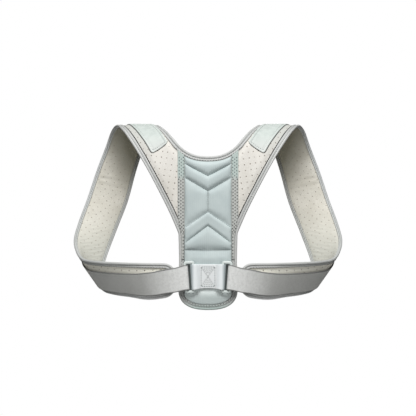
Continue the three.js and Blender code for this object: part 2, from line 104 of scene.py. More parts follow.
# The strap's sections: the point on the neck edge and the point on the arm edge.
STRAP_SECTIONS = (
    ((45.6, -78, -31.5), (43.8, -78, -165)),
    ((47.3, -77.9, -29.3), (57.8, -77.2, -133)),
    ((49.3, -77.2, -26.7), (72.3, -75, -104)),
    ((52.3, -74, -22.8), (87, -69.5, -76)),
    ((56.8, -65, -17.6), (102, -59, -50)),
    ((63.3, -47, -10.5), (118.4, -43, -24.5)),
    ((71.2, -24, -3.8), (131.5, -23, -6.7)),
    ((80.3, 2, 1.7), (142.5, 1, 2.1)),
    ((90, 27, -2.5), (152.3, 26, -4)),
    ((102, 51, -24), (163.5, 49, -29)),
    ((117, 68, -65.5), (179.5, 63, -68)),
    ((131.5, 74, -116.5), (195, 68, -113)),
    ((149, 71, -162), (208.5, 61, -151)),
    ((165, 54, -207.5), (213.8, 40, -178)),
    ((172, 19, -244), (206.5, 12, -197.5)),
    ((163, -3, -256.5), (195.5, -14, -207)),
    ((144.8, -24, -261), (170.5, -45, -210)),
    ((120, -42, -263.5), (136.7, -68, -211)),
    ((91, -61, -266.5), (99, -79, -211.5)),
    ((61, -75.5, -262.5), (60.7, -83, -212)),
    ((48.8, -80.5, -260.5), (48.5, -84, -212.5)),
)
SIDE_TOP_Z = -165.0  # where the panel's free side ends and the strap begins
PANEL_SIDE = ((TAIL_Z, TAIL_HALF), (-206.0, 42.8), (SIDE_TOP_Z, 43.8), (-31.5, NECK_HALF))


class Side(Enum):
    """The two halves of the brace, by the sign of X."""

    RIGHT = 1
    LEFT = -1

    def named(self, stem: str) -> str:
        """The name of a piece on this side."""
        return f"{stem}_{self.name.lower()}"


# Small sums


def mix(a: float, b: float, share: float) -> float:
    """The value at a share of the way from a to b."""
    return a + (b - a) * share


def clamped(value: float) -> float:
    """A value held between 0 and 1."""
    return min(1.0, max(0.0, value))


def smooth_step(value: float) -> float:
    """An S-curve from 0 to 1, level outside them."""
    share = clamped(value)
    return share * share * (3 - 2 * share)


def ramp(value: float, start: float, run: float) -> float:
    """An S-curve from 0 at a start to 1 one run farther; a run below 0 goes down."""
    return smooth_step((value - start) / run)


def soft_least(a: float, b: float) -> float:
    """The lower of two heights, with a smooth change where they are within a millimetre."""
    share = clamped(0.5 + 0.5 * (a - b))
    return mix(a, b, share) - share * (1 - share)


def table_value(rows: Sequence[Pair], at: float) -> float:
    """A value read off rising rows of key and value.

    Args:
        rows: Pairs of key and value, keys rising.
        at: The key to read at.

    Returns:
        The value, straight between rows and level past the ends.
    """
    if at <= rows[0][0]:
        return rows[0][1]
    for (key, value), (next_key, next_value) in zip(rows, rows[1:]):
        if at <= next_key:
            return mix(value, next_value, (at - key) / (next_key - key))
    return rows[-1][1]


def crowded(share: float) -> float:
    """A share of the width that gathers even steps towards both edges."""
    return 0.5 - 0.5 * math.cos(math.pi * share)


def rounded_edge(distance: float, radius: float, least: float = 0.3) -> float:
    """The share of the full thickness at a distance in from a rounded edge."""
    run = 1 - clamped(distance / radius)
    return max(least, math.sqrt(max(0.0, 1 - run * run)))


def rounded_inset(from_tip: float, radius: float) -> float:
    """How far a rounded end's outline lies in from its side, at a distance from the tip."""
    run = max(0.0, radius - from_tip)
    return radius - math.sqrt(max(0.0, radius * radius - run * run))


def groove(distance: float, middle: float, half: float) -> float:
    """The depth, 0 to 1, of a rounded groove at a distance from an edge."""
    return 1 - smooth_step(abs(distance - middle) / half)


def neck_z(x: float) -> float:
    """The height of the panel's neckline."""
    return NECK_Z + NECK_RISE * abs(x / NECK_HALF) ** ROUND_POWER


def tail_z(x: float, inside: float = 0.0) -> float:
    """The height of the tail's rounded end, or of a line drawn inside it."""
    rest = 1 - min(1.0, abs(x) / (TAIL_HALF - inside)) ** ROUND_POWER
    return TAIL_Z - (TAIL_DROP - inside) * rest ** (1 / ROUND_POWER)


def on_back(x: float, lift: float, z: float) -> Vector:
    """A point in front of the back panel's middle, as the photograph's viewer sees it."""
    return Vector((x, PANEL_Y - lift, z))


# Curves and the strap's surface


@dataclass(frozen=True)
class EdgeCurve:
    """A smooth centripetal curve through points, the same as in the solids."""

    points: tuple[Vector, ...]

    def at(self, share: float) -> Vector:
        """The point at a share of the curve's points, 0 to 1.

        Args:
            share: How far through the points, 0 to 1.

        Returns:
            The point.
        """
        points = self.points
        last = len(points) - 1
        place = clamped(share) * last
        index = min(int(place), last - 1)
        t = place - index
        p1, p2 = points[index], points[index + 1]
        p0 = points[index - 1] if index else 2 * p1 - p2
        p3 = points[index + 2] if index + 2 <= last else 2 * p2 - p1
        least = 1e-4
        d0, d1, d2 = (max((b - a).length ** 0.5, least) for a, b in ((p0, p1), (p1, p2), (p2, p3)))
        m1 = ((p1 - p0) / d0 - (p2 - p0) / (d0 + d1) + (p2 - p1) / d1) * d1
        m2 = ((p2 - p1) / d1 - (p3 - p1) / (d1 + d2) + (p3 - p2) / d2) * d1
        cubic = 2 * p1 - 2 * p2 + m1 + m2
        square = -3 * p1 + 3 * p2 - 2 * m1 - m2
        return p1 + m1 * t + square * t * t + cubic * t**3

    def way(self, share: float) -> Vector:
        """The unit direction of the curve."""
        step = 1e-4
        return (self.at(share + step) - self.at(share - step)).normalized()


@dataclass(frozen=True)
class StrapFrame:
    """The strap at one place along it: its two edges and how they run on."""

    neck: Vector
    arm: Vector
    neck_way: Vector
    arm_way: Vector
    length: float
    from_tip: float

    @property
    def width(self) -> float:
        """The strap's width here."""
        return (self.arm - self.neck).length

    def normal(self, share: float) -> Vector:
        """The outward direction, at a share of the width from the neck edge."""
        way = self.neck_way.lerp(self.arm_way, clamped(share))
        return (self.arm - self.neck).cross(way).normalized()

    def point(self, across: float, lift: float) -> Vector:
        """A point so far from the neck edge, and so far outward from the middle."""
        share = across / self.width
        return self.neck + (self.arm - self.neck) * share + self.normal(share) * lift

    def slants(self) -> Pair:
        """How squarely a section meets the neck edge and the arm edge, as sines."""
        span = (self.arm - self.neck).normalized()
        return span.cross(self.neck_way).length, span.cross(self.arm_way).length


@dataclass
class StrapSurface:
    """The strap's ruled surface, in fine frames from the panel seam to the tip."""

    steps_per_section: int = 40
    frames: list[StrapFrame] = field(default_factory=list)
    lengths: list[float] = field(default_factory=list)
    flat_neck: list[Vector] = field(default_factory=list)
    flat_arm: list[Vector] = field(default_factory=list)

    def __post_init__(self) -> None:
        """Samples the two edge curves and lays the strap flat."""
        necks, arms = (EdgeCurve(tuple(Vector(row[edge]) for row in STRAP_SECTIONS)) for edge in (0, 1))
        count = self.steps_per_section * (len(STRAP_SECTIONS) - 1)
        shares = [step / count for step in range(count + 1)]
        middles = [(necks.at(share) + arms.at(share)) / 2 for share in shares]
        self.lengths = [0.0]
        for before, after in zip(middles, middles[1:]):
            self.lengths.append(self.lengths[-1] + (after - before).length)
        for share, length in zip(shares, self.lengths):
            self.frames.append(
                StrapFrame(
                    necks.at(share), arms.at(share), necks.way(share), arms.way(share),
                    length, self.lengths[-1] - length,
                )
            )
        self._lay_flat()

    @property
    def total(self) -> float:
        """The strap's whole length along its middle."""
        return self.lengths[-1]

    def _lay_flat(self) -> None:
        """Unrolls the strap on a plane, triangle by triangle, so that a pattern keeps its size."""
        first = self.frames[0]
        self.flat_neck = [Vector((0.0, 0.0))]
        self.flat_arm = [Vector((first.width, 0.0))]
        for before, after in zip(self.frames, self.frames[1:]):
            neck, arm = self.flat_neck[-1], self.flat_arm[-1]
            from_neck, from_arm = (after.neck - before.neck).length, (after.neck - before.arm).length
            next_neck = self._apex(neck, arm, from_neck, from_arm)
            next_arm = self._apex(next_neck, arm, after.width, (after.arm - before.arm).length)
            self.flat_neck.append(next_neck)
            self.flat_arm.append(next_arm)

    @staticmethod
    def _apex(a: Vector, b: Vector, from_a: float, from_b: float) -> Vector:
        """The point at two distances from a and b, on the strap's forward side.

        Args:
            a: One end of the base.
            b: Its other end.
            from_a: The distance from a.
            from_b: The distance from b.

        Returns:
            The point.
        """
        base = b - a
        run = (from_a**2 - from_b**2 + base.length_squared) / (2 * base.length)
        rise = math.sqrt(max(0.0, from_a**2 - run**2))
        along = base.normalized()
        return a + along * run + Vector((-along.y, along.x)) * rise

    def _spot(self, length: float) -> tuple[int, float]:
        """The frame before a length and the share of the way to the next one.

        Args:
            length: The length from the panel seam.

        Returns:
            The frame's number and the share.
        """
        index = min(max(bisect_right(self.lengths, length) - 1, 0), len(self.frames) - 2)
        span = self.lengths[index + 1] - self.lengths[index]
        return index, clamped((length - self.lengths[index]) / span)

    def at_length(self, length: float) -> StrapFrame:
        """The strap at a length from the panel seam.

        Args:
            length: The length from the panel seam.

        Returns:
            The frame there.
        """
        index, share = self._spot(length)
        a, b = self.frames[index], self.frames[index + 1]
        return StrapFrame(
            a.neck.lerp(b.neck, share),
            a.arm.lerp(b.arm, share),
            a.neck_way.lerp(b.neck_way, share).normalized(),
            a.arm_way.lerp(b.arm_way, share).normalized(),
            length,
            self.total - length,
        )

    def length_at(self, section: float) -> float:
        """The length at a section, counted from the panel seam.

        Args:
            section: The section's number, whole or not.

        Returns:
            The length.
        """
        place = section * self.steps_per_section
        index = min(int(place), len(self.lengths) - 2)
        return mix(self.lengths[index], self.lengths[index + 1], place - index)

    def flat(self, length: float, share: float) -> Pair:
        """Where a point of the strap lies when the strap is laid flat.

        Args:
            length: The length from the panel seam.
            share: The share of the width from the neck edge.

        Returns:
            The flat place.
        """
        index, part = self._spot(length)
        neck = self.flat_neck[index].lerp(self.flat_neck[index + 1], part)
        arm = self.flat_arm[index].lerp(self.flat_arm[index + 1], part)
        spot = neck.lerp(arm, share)
        return spot.x, spot.y


def resampled(path: Sequence[tuple[Vector, ...]], step: float) -> list[tuple[Vector, ...]]:
    """Even steps along a path whose rows hold a point first and other vectors after it.

    Args:
        path: Rows of vectors, the point that is measured first.
        step: The wished spacing.

    Returns:
        Rows at an even spacing near that step, both ends included.
    """
    runs = [0.0]
    for before, after in zip(path, path[1:]):
        runs.append(runs[-1] + (after[0] - before[0]).length)
    count = max(2, round(runs[-1] / step))
    rows = []
    index = 0
    for number in range(count + 1):
        at = runs[-1] * number / count
        while index < len(runs) - 2 and runs[index + 1] < at:
            index += 1
        span = runs[index + 1] - runs[index]
        share = (at - runs[index]) / span if span else 0.0
        rows.append(tuple(a.lerp(b, share) for a, b in zip(path[index], path[index + 1])))
    return rows


# Finishes


def linear(hex_colour: str) -> tuple[float, float, float, float]:
    """The linear RGBA of an sRGB hex colour.

    Args:
        hex_colour: The colour as #rrggbb.

    Returns:
        Red, green, blue and an alpha of 1.
    """
    channels = [int(hex_colour[i : i + 2], 16) / 255 for i in (1, 3, 5)]
    curve = [c / 12.92 if c <= 0.04045 else ((c + 0.055) / 1.055) ** 2.4 for c in channels]
    return curve[0], curve[1], curve[2], 1.0


def wave_scale(period: float) -> float:
    """The scale of a wave texture whose bands repeat at a period in millimetres."""
    return math.pi / 10 / (period * MM)


def add_node(tree: Tree, kind: str, inputs: dict[Any, Any] | None = None, **settings: Any) -> Node:
    """Adds a node with its settings, values and links.

    Args:
        tree: The node tree that takes the node.
        kind: The node's type name, without the ShaderNode that all of them begin with.
        inputs: A value or an output socket for each input.
        settings: Properties of the node.

    Returns:
        The new node.
    """
    node = tree.nodes.new(f"ShaderNode{kind}")
    for name, value in settings.items():
        setattr(node, name, value)
    for socket, value in (inputs or {}).items():
        if isinstance(value, Socket):
            tree.links.new(value, node.inputs[socket])
        else:
            node.inputs[socket].default_value = value
    return node


class Axis(Enum):
    """Ways that a tone ramp runs, as weights of the distance from the spine, the depth and the height."""

    FROM_SPINE = (1.0, 0.0, 0.0)
    HEIGHT = (0.0, 0.0, 1.0)
    UNDER_CREST = (-1.4, 0.9, 1.0)


@dataclass(frozen=True)
class ToneRamp:
    """A slow change of tone, from none at the start to the most at the end, in millimetres; most are painted
    light and shade.

    It begins at a distance beyond the spine, and is full one edge's width farther out.
    """

    colour: str
    axis: Axis
    start: float
    end: float
    most: float = 1.0
    beyond: float = -10.0
    edge: float = 10.0


@dataclass(frozen=True)
class Finish:
    """What every finish has: a name, a main colour, a shade that it varies to, gloss, tone ramps and relief.

    The relief is a depth in millimetres, and the bump is how strongly it shows. The tone range holds the
    pattern's values for the shade and for the main colour.
    """

    name: str
    colour: str
    shade: str
    roughness: float = 0.85
    sheen: float = 0.0
    toning: tuple[ToneRamp, ...] = ()
    relief: float = 0.25
    bump: float = 0.7
    sheen_roughness: float = 0.5
    tone_range: Pair = (0.0, 1.0)

    def material(self) -> bpy.types.Material:
        """The finish's material, made on its first use.

        Returns:
            The material.
        """
        known = bpy.data.materials.get(self.name)
        if known:
            return known
        material = bpy.data.materials.new(self.name)
        material.use_nodes = True
        material.diffuse_color = linear(self.colour)
        shader = material.node_tree.nodes[SHADER]
        shader.inputs["Roughness"].default_value = self.roughness
        shader.inputs["Sheen Weight"].default_value = self.sheen
        shader.inputs["Sheen Roughness"].default_value = self.sheen_roughness
        self._paint(material.node_tree)
        return material

    def _paint(self, tree: Tree) -> None:
        """Gives the shader its patterns; each finish has its own."""
        raise NotImplementedError

    def _mottle(self, tree: Tree, size: float, detail: float = 3.0) -> Socket:
        """Uneven patches of tone.

        Args:
            tree: The material's node tree.
            size: The size of a patch in millimetres.
            detail: How many finer layers a patch holds.

        Returns:
            The socket that gives them as a factor.
        """
        spot = add_node(tree, "TexCoord")
        inputs = {"Vector": spot.outputs["Object"], "Scale": 1 / (size * MM), "Detail": detail}
        return add_node(tree, "TexNoise", inputs).outputs["Fac"]

    def _toned(self, tree: Tree, value: Socket, least: float = 0.0) -> Node:
        """The colour between the shade and the main colour, with the finish's tone ramps on it.

        Args:
            tree: The material's node tree.
            value: The pattern's value.
            least: The share of the main colour that the shade's end has.

        Returns:
            The node that gives the colour.
        """
        low, high = self.tone_range
        limits = {"From Min": low, "From Max": high, "To Min": least}
        share = add_node(tree, "MapRange", {"Value": value, **limits})
        ends = {6: linear(self.shade), 7: linear(self.colour)}
        tone = add_node(tree, "Mix", {0: share.outputs[0], **ends}, data_type="RGBA")
        return self._ramped(tree, tone) if self.toning else tone

    def _ramped(self, tree: Tree, tone: Node) -> Node:
        """Adds the finish's tone ramps to its colour; most of them are painted light and shade.

        Args:
            tree: The material's node tree.
            tone: The node that gives the colour so far.

        Returns:
            The node that gives the ramped colour.
        """
        spot = add_node(tree, "TexCoord")
        parts = add_node(tree, "SeparateXYZ", {0: spot.outputs["Object"]})
        apart = add_node(tree, "Math", {0: parts.outputs["X"]}, operation="ABSOLUTE").outputs[0]
        axes = {0: apart, 1: parts.outputs["Y"], 2: parts.outputs["Z"]}
        place = add_node(tree, "CombineXYZ", axes).outputs[0]
        for toning in self.toning:
            weights = {0: place, 1: toning.axis.value}
            along = add_node(tree, "VectorMath", weights, operation="DOT_PRODUCT")
            limits = {"From Min": toning.beyond * MM, "From Max": (toning.beyond + toning.edge) * MM}
            most = add_node(tree, "MapRange", {"Value": apart, "To Max": toning.most, **limits})
            limits = {"From Min": toning.start * MM, "From Max": toning.end * MM, "To Max": most.outputs[0]}
            share = add_node(tree, "MapRange", {"Value": along.outputs["Value"], **limits})
            ends = {6: tone.outputs[2], 7: linear(toning.colour)}
            tone = add_node(tree, "Mix", {0: share.outputs[0], **ends}, data_type="RGBA")
        return tone

    def _dress(self, tree: Tree, tone: Node, height: Socket) -> None:
        """Puts a colour and the finish's relief on the shader.

        Args:
            tree: The material's node tree.
            tone: The node that gives the colour.
            height: The socket that gives the relief's height.
        """
        raised = {"Height": height, "Distance": self.relief * MM, "Strength": self.bump}
        bump = add_node(tree, "Bump", raised)
        shader = tree.nodes[SHADER]
        tree.links.new(tone.outputs[2], shader.inputs["Base Color"])
        tree.links.new(bump.outputs[0], shader.inputs["Normal"])


@dataclass(frozen=True)
class PerforatedNeoprene(Finish):
    """Foam rubber faced with a knit, punched with small breathing holes, some of them half closed."""

    relief: float = 0.4
    bump: float = 0.6
    tone_range: Pair = (0.12, 0.42)
    hole: str = "#8b8076"
    pitch: float = 8.9
    turn: float = math.radians(-10)
    hole_size: float = 1.5
    hole_depth: float = 1.5
    hole_rim: Pair = (0.7, 1.25)
    least_open: float = 0.4
    closing: float = 7.0
    closing_range: Pair = (0.35, 0.6)
    grain: float = 1.4
    patch: float = 26.0

    def _paint(self, tree: Tree) -> None:
        """Matt knit with slow patches and rows of holes.

        Args:
            tree: The material's node tree.
        """
        grain = self._mottle(tree, self.grain)
        blotch = {0: grain, 1: self._mottle(tree, self.patch)}
        tone = add_node(tree, "Math", blotch, operation="MULTIPLY")
        hole = self._holes(tree)
        ends = {6: self._toned(tree, tone.outputs[0]).outputs[2], 7: linear(self.hole)}
        punched = add_node(tree, "Mix", {0: hole, **ends}, data_type="RGBA")
        sunk = {0: hole, 1: -self.hole_depth, 2: grain}
        height = add_node(tree, "Math", sunk, operation="MULTIPLY_ADD")
        self._dress(tree, punched, height.outputs[0])

    def _holes(self, tree: Tree) -> Socket:
        """Rows of round holes that follow the cloth.

        Args:
            tree: The material's node tree.

        Returns:
            The socket that gives them as a factor, lower where a hole is half closed.
        """
        flat = add_node(tree, "UVMap", uv_map=FLAT)
        turned = {0: flat.outputs[0], "Angle": self.turn}
        away = add_node(tree, "VectorRotate", turned, rotation_type="Z_AXIS")
        cell_middle = (0.5, 0.5, 0)
        for operation, inputs in (
            ("SCALE", {"Scale": 1 / (self.pitch * MM)}),
            ("FRACTION", {}),
            ("SUBTRACT", {1: cell_middle}),
            ("LENGTH", {}),
        ):
            inputs[0] = away.outputs[0]
            away = add_node(tree, "VectorMath", inputs, operation=operation)
        low, high = self.closing_range
        limits = {"From Min": low, "From Max": high, "To Min": self.least_open}
        patches = self._mottle(tree, self.closing)
        open_share = add_node(tree, "MapRange", {"Value": patches, **limits})
        inner, outer = (self.hole_size / 2 / self.pitch * share for share in self.hole_rim)
        limits = {"From Min": inner, "From Max": outer, "To Min": open_share.outputs[0], "To Max": 0.0}
        inputs = {"Value": away.outputs["Value"], **limits}
        hole = add_node(tree, "MapRange", inputs, interpolation_type="SMOOTHSTEP")
        return hole.outputs[0]


@dataclass(frozen=True)
class WovenTape(Finish):
    """Narrow woven tape or webbing: ribs across it and fine lines along it, in flecked yarn.

    A selvedge above 0 is the tape's width, and its edges are then darker: a closer weave, with a painted
    shadow line along each.
    """

    bump: float = 0.8
    tone_range: Pair = (0.1, 1.1)
    rib: float = 1.6
    line: float = 1.3
    contrast: float = 0.6
    selvedge: float = 0.0
    edge_from: float = 2.2
    edge_full: float = 1.0
    edge_shade: float = 0.45
    fleck: float = 2.2
    uneven: float = 0.5

    def _paint(self, tree: Tree) -> None:
        """Ribs and warp lines that follow the tape, with flecks.

        Args:
            tree: The material's node tree.
        """
        flat = add_node(tree, "UVMap", uv_map=FLAT).outputs[0]
        yarn = {"Vector": flat, "Distortion": 0.4, "Detail": 1.0, "Detail Scale": 3.0}
        bands = {}
        for number, (way, period) in enumerate((("X", self.rib), ("Y", self.line))):
            inputs = {**yarn, "Scale": wave_scale(period)}
            wave = add_node(tree, "TexWave", inputs, wave_type="BANDS", bands_direction=way)
            bands[number] = wave.outputs["Fac"]
        weave = add_node(tree, "Math", bands, operation="MULTIPLY")
        flecked = {0: self._mottle(tree, self.fleck, YARN_DETAIL), 1: self.uneven, 2: weave.outputs[0]}
        height = add_node(tree, "Math", flecked, operation="MULTIPLY_ADD").outputs[0]
        tone = self._toned(tree, height, 1.0 - self.contrast)
        if self.selvedge:
            tone = self._selvedges(tree, flat, tone)
        self._dress(tree, tone, height)

    def _selvedges(self, tree: Tree, flat: Socket, tone: Node) -> Node:
        """Darker edges along both sides: a closer weave, with a painted shadow line.

        Args:
            tree: The material's node tree.
            flat: The socket that gives the flat place.
            tone: The node that gives the colour so far.

        Returns:
            The node that gives the colour with its edges.
        """
        half = self.selvedge / 2 * MM
        parts = add_node(tree, "SeparateXYZ", {0: flat})
        middle = add_node(tree, "Math", {0: parts.outputs["Y"], 1: half}, operation="SUBTRACT")
        away = add_node(tree, "Math", {0: middle.outputs[0]}, operation="ABSOLUTE")
        limits = {"From Min": half - self.edge_from * MM, "From Max": half - self.edge_full * MM}
        edge = add_node(tree, "MapRange", {"Value": away.outputs[0], **limits})
        # the edges' tone: their own darker yarn, with a painted shadow line
        selvedge_tone = (*(channel * self.edge_shade for channel in linear(self.shade)[:3]), 1.0)
        ends = {6: tone.outputs[2], 7: selvedge_tone}
        return add_node(tree, "Mix", {0: edge.outputs[0], **ends}, data_type="RGBA")


@dataclass(frozen=True)
class BrushedCloth(Finish):
    """Cloth or thread with a soft face: a fine grain over slow patches."""

    tone_range: Pair = (0.55, 1.05)
    grain: float = 1.2
    grain_share: float = 0.6
    patch: float = 18.0

    def _paint(self, tree: Tree) -> None:
        """A grained face with slow changes of tone.

        Args:
            tree: The material's node tree.
        """
        grain = self._mottle(tree, self.grain, YARN_DETAIL)
        added = {0: grain, 1: self.grain_share, 2: self._mottle(tree, self.patch)}
        tone = add_node(tree, "Math", added, operation="MULTIPLY_ADD")
        self._dress(tree, self._toned(tree, tone.outputs[0]), grain)


@dataclass(frozen=True)
class QuiltedKnit(Finish):
    """A satin knit over foam: fine wales down the cloth, with a soft gloss, and a painted shadow on the pad
    behind each ring.
    """

    relief: float = 0.12
    bump: float = 0.6
    tone_range: Pair = (0.55, 1.1)
    wale: float = 2.9
    wale_share: float = 0.1
    grain: float = 1.1
    grain_share: float = 0.4
    patch: float = 24.0
    # the painted shadow's colour, on the pad in each ring's eye
    ring_shadow_colour: str = "#565d5c"
    ring_shadow_half_width: float = 5.0
    ring_shadow_half_height: float = 22.0
    ring_shadow_soft: float = 1.5

    def _paint(self, tree: Tree) -> None:
        """Wales down the cloth, drawn wider than real ones so that they show, and slow changes of tone.

        Args:
            tree: The material's node tree.
        """
        flat = add_node(tree, "UVMap", uv_map=FLAT).outputs[0]
        inputs = {"Vector": flat, "Scale": wave_scale(self.wale), "Distortion": 0.6, "Detail": 1.0}
        wave = add_node(tree, "TexWave", inputs, wave_type="BANDS", bands_direction="X")
        wales = wave.outputs["Fac"]
        grain = self._mottle(tree, self.grain, YARN_DETAIL)
        tone = self._mottle(tree, self.patch)
        for pattern, share in ((wales, self.wale_share), (grain, self.grain_share)):
            added = {0: pattern, 1: share, 2: tone}
            tone = add_node(tree, "Math", added, operation="MULTIPLY_ADD").outputs[0]
        # the painted shadow behind each ring goes over the pad's tone
        ends = {6: self._toned(tree, tone).outputs[2], 7: linear(self.ring_shadow_colour)}
        ring_shaded = add_node(tree, "Mix", {0: self._ring_shadow(tree), **ends}, data_type="RGBA")
        height = add_node(tree, "Math", {0: wales, 1: grain}, operation="ADD")
        self._dress(tree, ring_shaded, height.outputs[0])

    def _ring_shadow(self, tree: Tree) -> Socket:
        """Painted shadow in each ring's eye: a soft upright patch on the pad behind each ring.

        Args:
            tree: The material's node tree.

        Returns:
            The socket that gives the patches as a factor.
        """
        spot = add_node(tree, "TexCoord")
        parts = add_node(tree, "SeparateXYZ", {0: spot.outputs["Object"]})
        beside = add_node(tree, "Math", {0: parts.outputs["X"]}, operation="ABSOLUTE")
        shares = {}
        for number, (along, middle, half) in enumerate((
            (beside.outputs[0], RING_X, self.ring_shadow_half_width),
            (parts.outputs["Z"], RING_Z, self.ring_shadow_half_height),
        )):
            offset = add_node(tree, "Math", {0: along, 1: middle * MM}, operation="SUBTRACT")
            away = add_node(tree, "Math", {0: offset.outputs[0]}, operation="ABSOLUTE")
            limits = {"From Min": (half - self.ring_shadow_soft) * MM, "From Max": (half + self.ring_shadow_soft) * MM}
            inputs = {"Value": away.outputs[0], **limits, "To Min": 1.0, "To Max": 0.0}
            shares[number] = add_node(tree, "MapRange", inputs).outputs[0]
        return add_node(tree, "Math", shares, operation="MULTIPLY").outputs[0]


@dataclass(frozen=True)
class MouldedPlastic(Finish):
    """Injection-moulded plastic: smooth and half glossy, with faint flow marks."""

    flow: float = 9.0
    gloss_spread: float = 0.06

    def _paint(self, tree: Tree) -> None:
        """Flow marks in the colour and a slightly uneven gloss.

        Args:
            tree: The material's node tree.
        """
        flow = self._mottle(tree, self.flow)
        limits = {"To Min": self.roughness - self.gloss_spread, "To Max": self.roughness + self.gloss_spread}
        gloss = add_node(tree, "MapRange", {"Value": flow, **limits})
        shader = tree.nodes[SHADER]
        tree.links.new(self._toned(tree, flow).outputs[2], shader.inputs["Base Color"])
        tree.links.new(gloss.outputs[0], shader.inputs["Roughness"])


# Most tone ramps below are painted light and shade; the seam tape's mint head is its own tint, and the tab
# only turns paler and greyer lower down.

# Knit-faced foam rubber, punched: matt and warm, with rows of soft dark dots
NEOPRENE = PerforatedNeoprene(
    "perforated_neoprene", "#e8e5de", "#dbd7ce", hole="#857a70", hole_size=1.9,
    toning=(
        # painted light: paler higher up the wing
        ToneRamp("#f6f3ee", Axis.HEIGHT, -95, -55, 0.25),
        # painted shade: greyer over the crest, beside the tab
        ToneRamp("#babdb8", Axis.HEIGHT, -60, -14, 0.75, beyond=78),
        # painted light: paler from 190 mm down, on the under-arm strip that lies in shade
        ToneRamp("#fbf9ec", Axis.HEIGHT, -190, -208),
    ),
)
# The same foam's inner face: yellower, with fainter dots, and painted shade under the crest and lower down
LINING = PerforatedNeoprene(
    "neoprene_lining", "#ece9df", "#d8d4c8", hole="#9d9487", hole_size=1.7,
    toning=(
        # painted shade: darker near the top of the inner faces, at the crest
        ToneRamp("#5f5c47", Axis.HEIGHT, -25, 5, 0.5),
        # painted shade under the crest, deepest beside the neck
        ToneRamp("#5f5c47", Axis.UNDER_CREST, -236, -164, 0.82, beyond=75),
        # painted shade: greyer lower down on the straps' inner faces
        ToneRamp("#c1c1b8", Axis.HEIGHT, -125, -195, beyond=100),
    ),
)
# Polyester satin knit, quilted over foam: cool and pale, with a soft gloss on each crown
QUILT_SATIN = QuiltedKnit(
    "quilted_satin_knit", "#c6d1d0", "#b8c4c4", 0.6, 0.1,
    # painted light: paler on the tail below the keeper, where its shadow falls, and a little less pale lower
    # down
    toning=(ToneRamp("#e0e9e7", Axis.HEIGHT, -243, -249), ToneRamp("#ccd7d5", Axis.HEIGHT, -254, -264)),
)
# Woven polyester tape, folded and pressed: neutral grey, nearly matt, with fine ribs
BINDING = WovenTape(
    "polyester_binding_tape", "#cfd0ce", "#b3b4b2", 0.8, 0.1, rib=1.5, line=1.5, contrast=0.5,
    toning=(
        # darker by a quarter nearer the spine, from 110 mm in to 85 mm
        ToneRamp("#b8b9b7", Axis.FROM_SPINE, 110, 85, 0.25),
        # paler on the straps' outer edges, beyond 130 mm from the spine
        ToneRamp("#dadddd", Axis.FROM_SPINE, 130, 165, 0.8),
        # painted shade under the crest
        ToneRamp("#62635d", Axis.UNDER_CREST, -215, -164, 0.8, beyond=100),
        # painted shade: greyer lower down on the straps
        ToneRamp("#b9bbb8", Axis.HEIGHT, -115, -175, 0.8, beyond=100),
        # painted shade: darker low on the tail's sides
        ToneRamp("#8b8d8b", Axis.HEIGHT, -246, -256, 0.6, beyond=26),
        # painted light on the under-arm straps' lower edge, in the webbing's shadow
        ToneRamp("#eceded", Axis.HEIGHT, -258, -265, 1.0, beyond=47),
        # painted shade along the tail's bottom edge
        ToneRamp("#aab8b3", Axis.HEIGHT, -268, -279),
    ),
)
# Woven seam tape: matt, with a coarser weave than the binding's
SEAM_TAPE = WovenTape(
    "woven_seam_tape", "#caccc8", "#b0b2ae", 0.85, rib=1.8, line=1.8, contrast=0.8,
    toning=(ToneRamp("#bcc9c4", Axis.HEIGHT, -86, -76),),
)
# Brushed loop cloth: a dull, cloudy pile with no gloss
TAB_CLOTH = BrushedCloth(
    "brushed_loop_cloth", "#d0d8d3", "#c0c9c4", 0.9, 0.2, grain=1.4, patch=9.0, relief=0.35,
    toning=(ToneRamp("#dadeda", Axis.HEIGHT, -12, -35),),
)
# The loop cloth's cut edge: matt, its grey backing darkened further as painted shade along the tab's edge
TAB_RIM = BrushedCloth("cut_edge_painted_shade", "#656a67", "#565b58", 0.95, grain=0.8, relief=0.2)
# Woven polyester webbing: flecked ribs between darker selvedges that also carry a painted shadow line, with
# painted shade as it turns round the side
GREY_WEBBING = WovenTape(
    "grey_polyester_webbing", "#f2f3f1", "#babbb8", 0.7, 0.1, rib=2.0, line=1.7, contrast=0.9,
    # painted shade: darker farther from the spine, where the webbing turns away round the side
    selvedge=WEB_WIDTH, fleck=3.2, uneven=1.0, toning=(ToneRamp("#b4b5b1", Axis.FROM_SPINE, 50, 105, 0.66),),
)
# Satin-woven webbing: smooth and pale, with a sheen that runs along it, a painted highlight beside the box
# and painted shade round the bars
PALE_WEBBING = WovenTape(
    "pale_satin_webbing", "#ebeeee", "#d8dcdd", 0.42, 0.1, rib=1.6, line=1.9, relief=0.15,
    # painted highlight beyond 11.5 mm from the spine, and painted shade where the band turns round each
    # ring's inner bar
    toning=(ToneRamp("#eef3f4", Axis.FROM_SPINE, 11.5, 14.0), ToneRamp("#a9b4b6", Axis.FROM_SPINE, 20.5, 25.0)),
)
# Moulded acetal: pale, with a clear highlight along each bar, and painted shade on its lower end
RING_PLASTIC = MouldedPlastic(
    # painted shade: darker on the ring's lower end
    "moulded_acetal", "#dae2df", "#ced7d4", 0.3, toning=(ToneRamp("#bfc9c6", Axis.HEIGHT, -248, -254, 0.8),),
)
# Spun polyester thread: matt, in the tones that the seams show
THREAD_FACE: dict[str, float] = {"roughness": 0.75, "grain": 0.6, "relief": 0.1}
PALE_THREAD = BrushedCloth("pale_sewing_thread", "#a9aeab", "#989d9a", **THREAD_FACE)
GREY_THREAD = BrushedCloth("grey_sewing_thread", "#7b7e7d", "#666968", **THREAD_FACE)
DARK_THREAD = BrushedCloth("dark_sewing_thread", "#626462", "#4f514f", **THREAD_FACE)
BLACK_THREAD = BrushedCloth("black_sewing_thread", "#454745", "#373937", **THREAD_FACE)
